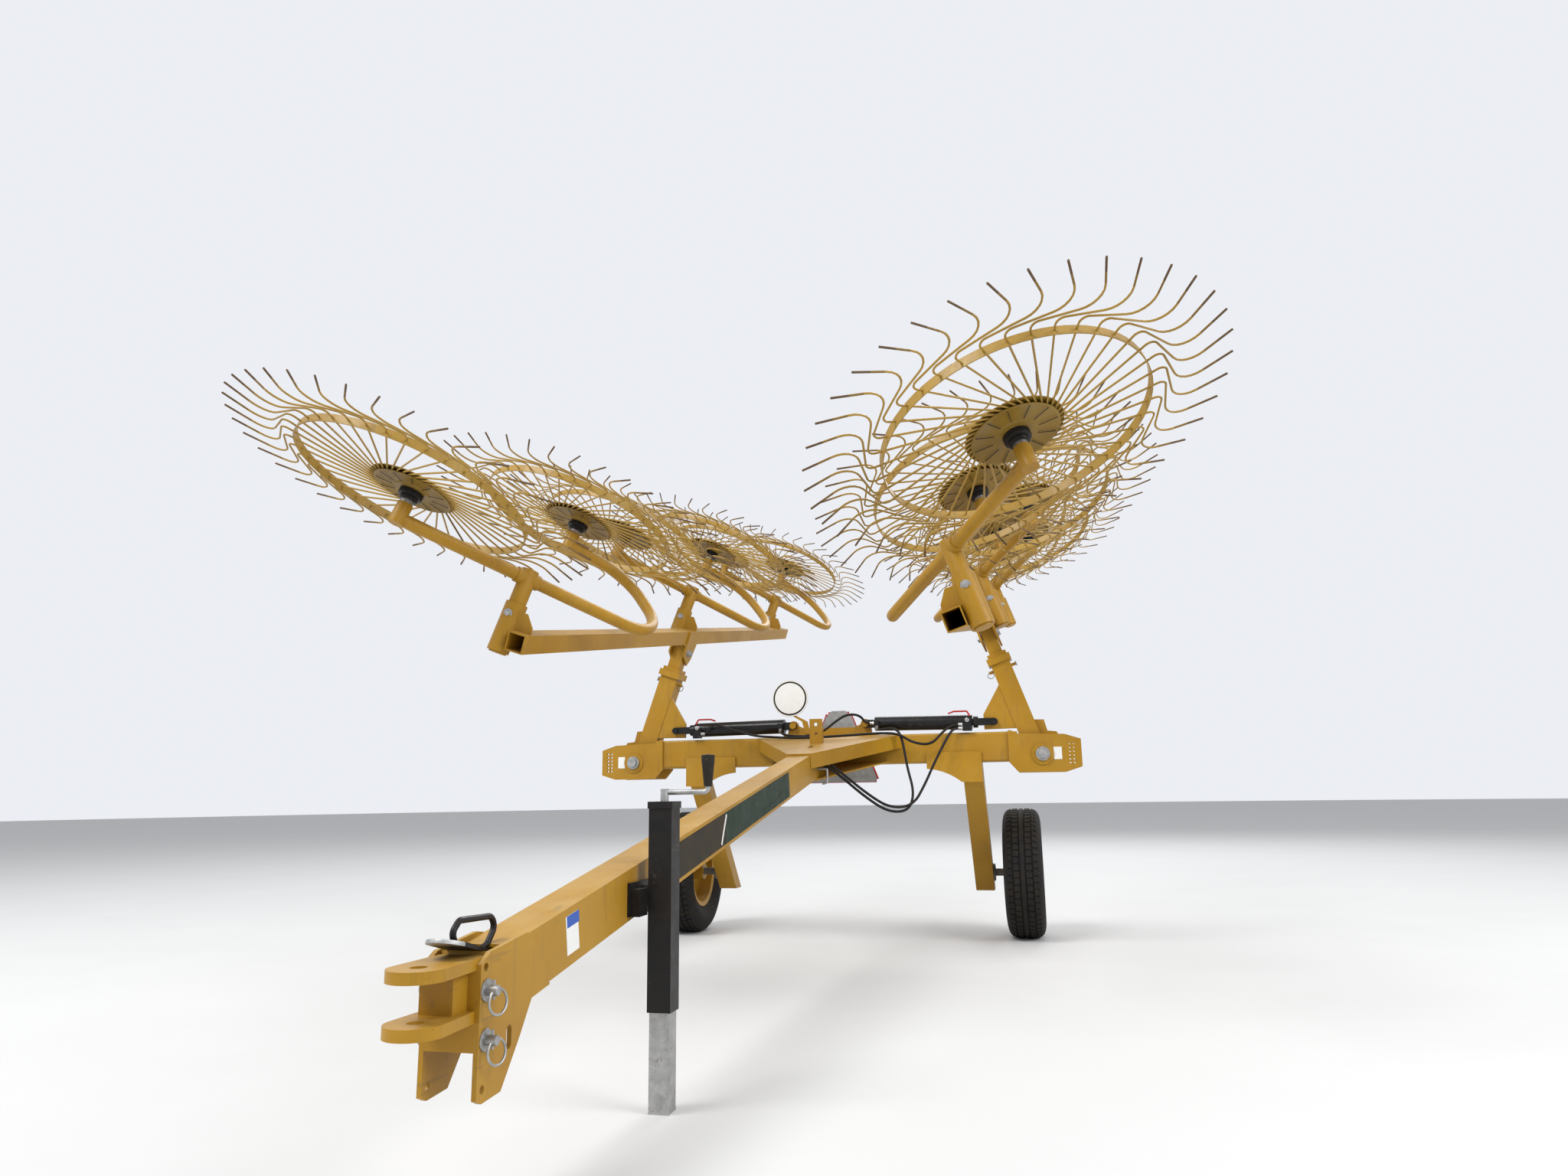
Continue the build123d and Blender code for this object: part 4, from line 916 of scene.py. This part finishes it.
# %% Beams, sockets, webs and bolts
BEAM_SIDE = 0.076
BEAM_WALL = 0.005
BEAM_ENDS = (-1.985, 2.320)
SOCKETS = (-1.931, 0.073, 2.077)
SOCKET_R = 0.044
SOCKET_BORE = 0.0352
SOCKET_DOWN = 0.062
SOCKET_LONG = 0.202
WEB_WIDE = 0.078
WEB_THICK = 0.008
WEB_OUT = 0.040
WEB_SHIFT = side_way * -0.030 + beam_up * 0.036
WEB_CUT = 0.012
WEB_SLANT = 1.4
SOCKET_BOLT = 0.012
SOCKET_WASHER = 0.019
BOLT_RISE = 0.100


def socket_web(reach):
    """The web on top of the beam at one socket: a square plate cut off on a slant."""
    corner_at = HEAD + along * (reach - WEB_THICK / 2) + beam_up * BEAM_SIDE / 2 + side_way * WEB_OUT
    web = slab(corner_at, along, (WEB_WIDE, WEB_WIDE, WEB_THICK), yellow, -side_way)
    only(web)
    middle = corner_at - side_way * WEB_WIDE / 2 + beam_up * WEB_WIDE / 2
    web.data.transform(Matrix.Translation(WEB_SHIFT))
    bpy.ops.object.mode_set(mode="EDIT")
    bpy.ops.mesh.select_all(action="SELECT")
    bpy.ops.mesh.bisect(
        plane_co=middle - side_way * WEB_CUT + beam_up * WEB_CUT,
        plane_no=(beam_up - side_way * WEB_SLANT).normalized(), clear_outer=True, use_fill=True,
    )
    bpy.ops.object.mode_set(mode="OBJECT")
    return web


corner = BEAM_SIDE / math.sqrt(2)
parts = [
    open_tube(
        HEAD + along * BEAM_ENDS[0], along, corner, corner - BEAM_WALL * math.sqrt(2),
        BEAM_ENDS[1] - BEAM_ENDS[0], 4, yellow, side_way + beam_up,
    )
]
for reach in SOCKETS:
    at = HEAD + along * reach + side_way * (BEAM_SIDE / 2 + SOCKET_R)
    foot = at - post_way * SOCKET_DOWN
    parts.append(open_tube(foot, post_way, SOCKET_R, SOCKET_BORE, SOCKET_LONG, 32, yellow))
    parts.append(socket_web(reach))
    for way in (-1, 1):
        head_at = at + post_way * BOLT_RISE + along * way * (SOCKET_R - 0.002)
        parts += bolt(head_at, along * way, SOCKET_BOLT, SOCKET_WASHER, dome=way < 0)
beam_right = give(parts, "dressed_beam_right", "boom_right")
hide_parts("rake_beam_right")
beam_left = reflected(beam_right)
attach(beam_left, "boom_left")
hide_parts("rake_beam_left")
print("beam", len(beam_right.data.polygons), "faces")

# %% [markdown]
# ## Tyres
#
# A tyre is one outline, closed at the beads and spun round the axle. Four grooves are part of the
# outline. Every third step of the ribs is then inset and pressed in, which leaves the blocks.

# %% One tyre
TYRE_STEPS = 180
BLOCK_STEPS = 3
HALF_OUTLINE = [  # x from the middle, radius
    (0.070, 0.1915), (0.0705, 0.200), (0.078, 0.214), (0.092, 0.238), (0.1015, 0.262), (0.1025, 0.272),
    (0.1005, 0.290), (0.0995, 0.292), (0.0965, 0.306), (0.090, 0.322), (0.0780, 0.3345),
    (0.0770, 0.3350), (0.0560, 0.3440), (0.0545, 0.3380), (0.0485, 0.3380), (0.0470, 0.3442),
    (0.0190, 0.3445), (0.0175, 0.3380), (0.0115, 0.3380), (0.0100, 0.3445),
]
SHOULDER_FROM = 0.056
SHOULDER_LOW = 0.331
RIB_FROM = 0.019
RIB_LOW = 0.3435
SIPE_EDGE = 0.0012
SIPE_DEEP = 0.0045


def between_blocks(middle, normal):
    """True for the faces that are pressed in between two blocks of tread."""
    step = int((math.atan2(middle.y, middle.z) / math.tau + 1) * TYRE_STEPS + 0.5)
    wide = abs(middle.x)
    low = SHOULDER_LOW if wide > SHOULDER_FROM else RIB_LOW
    shift = 0 if wide > SHOULDER_FROM else 1
    return middle.yz.length > low and wide > RIB_FROM and (step + shift) % BLOCK_STEPS == 0


def tyre():
    """A tyre round the X axis with its middle at the origin."""
    outline = [*HALF_OUTLINE, *[(-x, r) for x, r in reversed(HALF_OUTLINE)]]
    nothing_selected()
    bpy.ops.mesh.primitive_circle_add(vertices=len(outline), radius=1, fill_type="NOTHING")
    piece = bpy.context.object
    for corner, (x, r) in zip(piece.data.vertices, outline):
        corner.co = (x, 0, r)
    bpy.ops.object.mode_set(mode="EDIT")
    bpy.ops.mesh.select_mode(type="EDGE")
    bpy.ops.mesh.select_all(action="SELECT")
    bpy.ops.mesh.spin(steps=TYRE_STEPS, angle=math.tau, center=(0, 0, 0), axis=(1, 0, 0))
    bpy.ops.mesh.select_all(action="SELECT")
    bpy.ops.mesh.remove_doubles(threshold=0.0001)
    bpy.ops.mesh.normals_make_consistent(inside=False)
    select_faces(piece, between_blocks)
    bpy.ops.mesh.inset(thickness=SIPE_EDGE, depth=-SIPE_DEEP, use_boundary=True)
    bpy.ops.object.mode_set(mode="OBJECT")
    piece.data.materials.append(tyre_black)
    only(piece)
    bpy.ops.object.shade_smooth_by_angle(angle=math.radians(32))
    return piece


# %% Two tyres and their nuts
TRACK = 0.970
AXLE = Vector((0, 4.285, -0.0905))
NUTS = 5
NUT_CIRCLE = 0.070
NUT_R = 0.011
NUT_FACE = 0.0182
CAP_R = 0.026
CAP_FACE = 0.061

pattern = tyre()
print("one tyre has", len(pattern.data.polygons), "faces")
for hand, side in (("right", 1), ("left", -1)):
    mesh = pattern.data.copy()
    mesh.transform(Matrix.Translation(AXLE + Vector((side * TRACK, 0, 0))))
    dressed = bpy.data.objects.new(f"tread_{hand}", mesh)
    bpy.context.scene.collection.objects.link(dressed)
    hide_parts(f"tyre_{hand}")
    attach(dressed, f"ground_wheel_{hand}")
    out = Vector((side, 0, 0))
    nuts = []
    for k in range(NUTS):
        angle = math.tau * k / NUTS
        spot = Vector((0, math.cos(angle), math.sin(angle))) * NUT_CIRCLE
        nuts += bolt(AXLE + spot + out * (TRACK + NUT_FACE), out, NUT_R)
    nuts.append(disc(AXLE + out * (TRACK + CAP_FACE), out, CAP_R, 0.006, zinc, 28, 0.002))
    give(nuts, f"wheel_nuts_{hand}", f"ground_wheel_{hand}")
bpy.data.objects.remove(pattern)

# %% [markdown]
# ## Signs and stickers
#
# Each sign is a thin plate with blank faces: a white disc with a black ring, an orange plate with a
# red border at the back, a black and green field with a white slash along the drawbar, and small
# blank stickers. Stacked thin plates give crisp edges that a painted mask would blur.

# %% Round sign and slow-vehicle plate
FRONT = (0, -1, 0)
DISC_AT = Vector((-0.215, 3.732, 0.865))
DISC_RINGS = [(0.0995, 0.0006, sign_white), (0.0930, 0.0012, dull_black), (0.0840, 0.0018, sign_white)]
give(
    [disc(DISC_AT, FRONT, radius, depth, paint, 64) for radius, depth, paint in DISC_RINGS],
    "speed_disc_face", "frame",
)

PLATE_BACK = 4.014
PLATE_EDGE = [(-0.205, 0.424), (0.205, 0.424), (0.060, 0.790), (-0.060, 0.790)]
BORDER_WIDE = 0.030
plate = frame["nodes"]["slow_plate"].data
plate.materials.append(sign_orange)
for face in plate.polygons:
    if face.normal.y > 0.9 and face.center.y > 4.0:
        face.material_index = 1
border = []
for (x, z), (next_x, next_z) in zip(PLATE_EDGE, [*PLATE_EDGE[1:], PLATE_EDGE[0]]):
    way = Vector((next_x - x, 0, next_z - z))
    middle = Vector(((x + next_x) / 2, PLATE_BACK, (z + next_z) / 2))
    border.append(slab(middle, (0, 1, 0), (way.length, BORDER_WIDE, 0.001), sign_red, way))
give(border, "slow_plate_border", "frame")
print("signs set")

# %% Field, slash and stickers
BAR_ANGLE = math.radians(9.43)
BAR_FACE = 0.0521
BAR_REAR = 3.712
BAR_REAR_TOP = 0.643
BAR_HALF_HIGH = 0.0644
FIELD_WIDE = 0.104
FIELD_ENDS = (1.130, 2.600)
SLASH_Y = 1.668
GREEN_FROM = 1.690
SLASH_SIZE = (0.112, 0.012, 0.0010)
STICKER_Y = 0.520
STICKER_LONG = 0.062
LABEL_AT = (1.184, 3.6998, 0.537)
LABEL_SIZE = (0.040, 0.062, 0.0006)
RIGHT = (1, 0, 0)
bar_way = Vector((0, math.cos(BAR_ANGLE), math.sin(BAR_ANGLE)))
slash_way = bar_way * 0.50 + Vector((0, 0, 0.80))


def bar_side(y):
    """The middle of the drawbar's right side at the given place along the machine."""
    top = BAR_REAR_TOP - (BAR_REAR - y) * math.tan(BAR_ANGLE)
    return Vector((BAR_FACE, y, top - BAR_HALF_HIGH))


def field(start, end, paint):
    """A stretch of the coloured field, from one place along the machine to another."""
    long = (end - start) / math.cos(BAR_ANGLE)
    return slab(bar_side((start + end) / 2), RIGHT, (long, FIELD_WIDE, 0.0006), paint, bar_way)


decal = [
    field(FIELD_ENDS[0], GREEN_FROM, dull_black),
    field(GREEN_FROM, FIELD_ENDS[1], sign_green),
    slab(bar_side(SLASH_Y), RIGHT, SLASH_SIZE, sign_white, slash_way),
]
give(decal, "drawbar_field", "frame")
sticker = []
for lift, wide, depth, paint in ((0.004, 0.086, 0.0006, sign_white), (0.034, 0.026, 0.0010, sign_blue)):
    at = bar_side(STICKER_Y) + Vector((0, 0, lift))
    sticker.append(slab(at, RIGHT, (STICKER_LONG, wide, depth), paint, bar_way))
give(sticker, "drawbar_sticker", "frame")
labels = [
    slab((side * LABEL_AT[0], *LABEL_AT[1:]), FRONT, LABEL_SIZE, sign_white, RIGHT) for side in (1, -1)
]
give(labels, "end_plate_labels", "frame")
print("stickers set")

# %% [markdown]
# ## Hitch hardware
#
# Two pins with ring pulls hold the clevis, and the drawbar's own pin lies on its shelf with its
# flat eye and its round handle. A ring is a torus; a handle is a bevelled line with round corners.

# %% Ring pulls in the clevis pins
CLEVIS_PINS = ((0.132, -0.002), (0.134, -0.091))
PIN_WASHERS = [  # x of the foot, radius, depth, sides
    (0.0622, 0.021, 0.004, 28), (0.0860, 0.0095, 0.003, 20), (-0.0702, 0.015, 0.004, 24),
]
RING_R = 0.0235
RING_WIRE = 0.0026
RING_EYE = 0.0028
rings = []
for y, z in CLEVIS_PINS:
    for x, radius, depth, sides in PIN_WASHERS:
        way = (math.copysign(1, x), 0, 0)
        rings.append(disc((x, y, z), way, radius, depth, zinc, sides, 0.0015))
    rings.append(tube_along([(0.078, y, z + 0.019), (0.078, y, z - 0.016)], RING_EYE, zinc))
    rings.append(ring((0.0845, y + 0.005, z - 0.021), (1, -0.25, 0.1), RING_R, RING_WIRE, zinc))
give(rings, "ring_pins", "frame")

# %% The stowed pin
PIN_LEAN = math.radians(15.3)
PIN_AT = Vector((0, 0.190, 0.0547))
PIN_PLATE = 0.008
PIN_WIDE = 0.078
PIN_LONG = 0.182
PIN_SHANK_R = 0.015
SHANK_LONG = 0.096
HANDLE_R = 0.0065
HANDLE = [
    (0, 0.118, 0.080), (0, 0.104, 0.104), (0, 0.128, 0.124), (0, 0.246, 0.119), (0, 0.266, 0.098),
    (0, 0.236, 0.066), (0, 0.214, 0.060),
]
HANDLE_BENDS = [0.014, 0.018, 0.024, 0.018, 0.010]
pin_up = Vector((0, math.sin(PIN_LEAN), math.cos(PIN_LEAN)))
pin_out = Vector((0, -math.cos(PIN_LEAN), math.sin(PIN_LEAN)))
pin_middle = PIN_AT + pin_out * 0.054
half_long = (PIN_LONG - PIN_WIDE) / 2
pin = [slab(pin_middle, pin_up, (half_long * 2, PIN_WIDE, PIN_PLATE), black_steel, pin_out)]
for way, paint in ((1, galvanised), (-1, black_steel)):
    round_at = pin_middle + pin_out * half_long * way
    pin.append(disc(round_at, pin_up, PIN_WIDE / 2, PIN_PLATE, paint, 48, 0.0025))
shank_foot = PIN_AT - pin_up * SHANK_LONG
pin.append(disc(shank_foot, pin_up, PIN_SHANK_R, SHANK_LONG, black_steel, 32, 0.003))
pin.append(tube_along(rounded(HANDLE, HANDLE_BENDS), HANDLE_R, black_steel, 16))
pin = give(pin, "stowed_pin", "frame")
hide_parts("hitch_pin")
print("hitch dressed")

# %% [markdown]
# ## Bolts, lock pins, sleeves and levers
#
# Small hardware is what makes a big painted frame read as a machine. Four bolts clamp each beam's
# bracket, a pin with a ring locks each mast, every hose ends in a crimped sleeve on a nut, and each
# cylinder has a red lever on its valve.

# %% Bracket bolts and lock pins
BRACKET_BOLT = 0.0145
BRACKET_WASHER = 0.019
BRACKET_FACE = 0.0482
BOLTS_APART = 0.040
BOLTS_BELOW = 0.089
LOCK_RISE = 0.478
LOCK_END = 0.0742
LOCK_RING_AT = 0.0700
LOCK_RING_R = 0.0165
LOCK_RING_WIRE = 0.0022
bracket_x = rise.cross(side_way)
bracket_y = side_way.cross(bracket_x)
bolts = []
for half in (-0.5, 0.5):
    for way in (-1, 1):
        below = bracket_x * half * BOLTS_APART - bracket_y * BOLTS_BELOW
        spot = HEAD + below + side_way * way * BRACKET_FACE
        bolts += bolt(spot, side_way * way, BRACKET_BOLT, BRACKET_WASHER)
lock = MAST_FOOT + rise * LOCK_RISE
bolts.append(disc(lock + outward * LOCK_END, outward, 0.013, 0.006, zinc, 20, 0.002))
ring_at = lock - outward * LOCK_RING_AT - rise * 0.014
bolts.append(ring(ring_at, (0.2, -1, 0.1), LOCK_RING_R, LOCK_RING_WIRE, zinc))
bolts_right = give(bolts, "boom_bolts_right", "boom_right")
bolts_left = reflected(bolts_right)
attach(bolts_left, "boom_left")
print("bolts set")

# %% Hose sleeves and valve levers
SLEEVES = [(0.0092, 0.022, 20), (0.0107, 0.008, 6)]  # radius, depth, sides
SLEEVE_GAP = 0.0004
LEVER_R = 0.0045
LEVER = [(0.640, 3.724, 0.7545), (0.668, 3.722, 0.764), (0.738, 3.720, 0.764), (0.752, 3.716, 0.738)]
VALVE_AT = (0.738, 3.7200, 0.7160)
sleeves = []
for points in HOSES.values():
    for end, inner in ((points[0], points[1]), (points[-1], points[-2])):
        way = (Vector(inner) - Vector(end)).normalized()
        for radius, depth, sides in SLEEVES:
            sleeves.append(disc(Vector(end) + way * SLEEVE_GAP, way, radius, depth, zinc, sides, 0.001))
give(sleeves, "hose_sleeves", "frame")
for hand, side in (("right", 1), ("left", -1)):
    bend = [(side * x, y, z) for x, y, z in LEVER]
    lever = tube_along(rounded(bend, [0.010, 0.012]), LEVER_R, lever_red)
    valve = disc((side * VALVE_AT[0], *VALVE_AT[1:]), FRONT, 0.012, 0.030, zinc, 20, 0.003)
    give([lever, valve], f"valve_lever_{hand}", f"cylinder_barrel_{hand}")
print("hardware set")

# %% Finish
def plain(corners):
    return [[float(c) for c in corner] for corner in corners]


{"cad": plain(cad_box), "visual": plain(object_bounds())}
